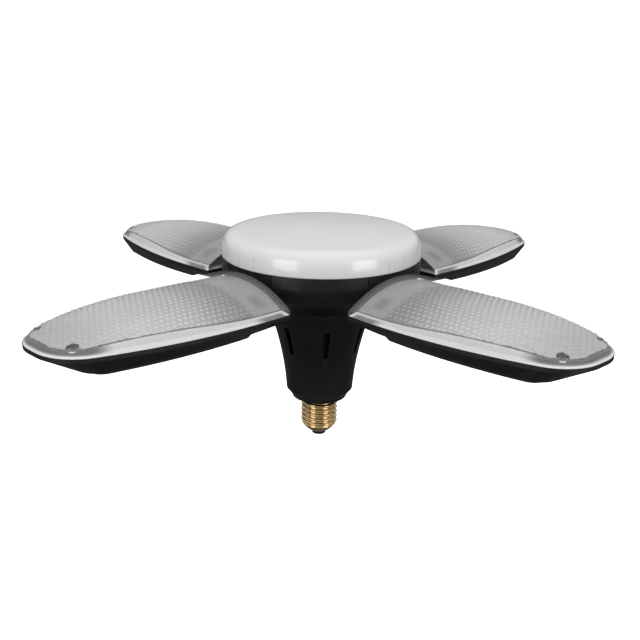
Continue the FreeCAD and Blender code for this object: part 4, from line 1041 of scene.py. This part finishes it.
def centre_lens():
    """Frosted lens with its curved wall, shoulder and crown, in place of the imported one."""
    outer = centre_lens_profile(0)
    inner = centre_lens_profile(CENTRE_LENS_WALL)
    vertices, faces = lathe(inner[::-1] + outer, CENTRE_SEGMENTS)
    made = piece("centre_diffuser", vertices, faces, FROSTED)
    weld = made.modifiers.new("pole_weld", "WELD")
    weld.merge_threshold = POLE_WELD
    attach(made, "hub")
    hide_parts("centre_lens")


centre_lens()

# ---------------------------------------------------------------- fine upright lines round the hub, with painted shade lines at the edges of its flats

CLIP_ANGLES = (-5.2, 6.5)
CLIP_RIDGE_WIDTH = 0.45 * MM
CLIP_RIDGE_PROUD = 0.10 * MM
CLIP_LOW = 1.0 * MM
CLIP_HIGH = 8.8 * MM
FLAT_DEPTH = 3.7 * MM
# painted shade line at each edge of the hub's flats
FLAT_EDGE_LINE_WIDTH = 0.5 * MM
FLAT_EDGE_LINE_PROUD = 0.06 * MM
HUB_WALL_HEIGHT = 8.0 * MM
LINE_STEPS = 8

# a ridge's section: steps to each side in half widths, and outward in heights of the ridge
RIDGE_SECTION = ((-1, -1), (0, 1), (1, -1))


def upright_lines(name, angles, low, high, radius_at, width, proud, material):
    """Thin upright ridges at angles in degrees from each leaf's axis, following the radius at each height."""
    vertices = []
    faces = []
    for leaf in LEAVES:
        for offset in angles:
            angle = QUARTER_TURN * (leaf - 1) + math.radians(offset)
            radial = Vector((math.cos(angle), math.sin(angle), 0))
            across = Vector((-math.sin(angle), math.cos(angle), 0)) * width / 2
            start = len(vertices)
            for k in range(LINE_STEPS + 1):
                height = low + (high - low) * k / LINE_STEPS
                for side, rise in RIDGE_SECTION:
                    place = radial * (radius_at(height) + rise * proud) + across * side
                    vertices.append((place.x, place.y, height))
            corners = len(RIDGE_SECTION)
            for k in range(LINE_STEPS):
                for column in range(corners - 1):
                    faces.append(quad(start + corners * k + column, 1, corners))
    made = piece(name, vertices, faces, material, smooth=False)
    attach(made, "hub")


def lens_wall_radius(height):
    """Outer radius of the centre lens's wall at a height."""
    share = (height - CENTRE_SEAT) / LENS_SIDE_HEIGHT
    radius = CENTRE_RADIUS + share * (LENS_WALL_TOP_RADIUS - CENTRE_RADIUS)
    return radius + bow(share) * LENS_SIDE_BULGE


def hub_wall_radius(height):
    """Outer radius of the hub's upright wall, the same at each height."""
    return CENTRE_RADIUS


CLIP_GREY = moulded("clip_ridge_grey", (0.16, 0.16, 0.17), (0.22, 0.22, 0.23), 0.35)
# painted shade: a near-black line at each edge of the hub's flats
FLAT_EDGE_SHADE = moulded(
    "seam_black", (0.0012, 0.0012, 0.0013), (0.002, 0.002, 0.0021), 0.7,
    Specular_IOR_Level=0.1)
FLAT_EDGE_ANGLE = math.degrees(math.acos(1 - FLAT_DEPTH / CENTRE_RADIUS))
upright_lines(
    "centre_clip_ridges", CLIP_ANGLES, CENTRE_SEAT + CLIP_LOW, CENTRE_SEAT + CLIP_HIGH,
    lens_wall_radius, CLIP_RIDGE_WIDTH, CLIP_RIDGE_PROUD, CLIP_GREY)
upright_lines(
    "hub_flat_edge_shade_lines", (-FLAT_EDGE_ANGLE, FLAT_EDGE_ANGLE), CENTRE_SEAT - HUB_WALL_HEIGHT, CENTRE_SEAT,
    hub_wall_radius, FLAT_EDGE_LINE_WIDTH, FLAT_EDGE_LINE_PROUD, FLAT_EDGE_SHADE)
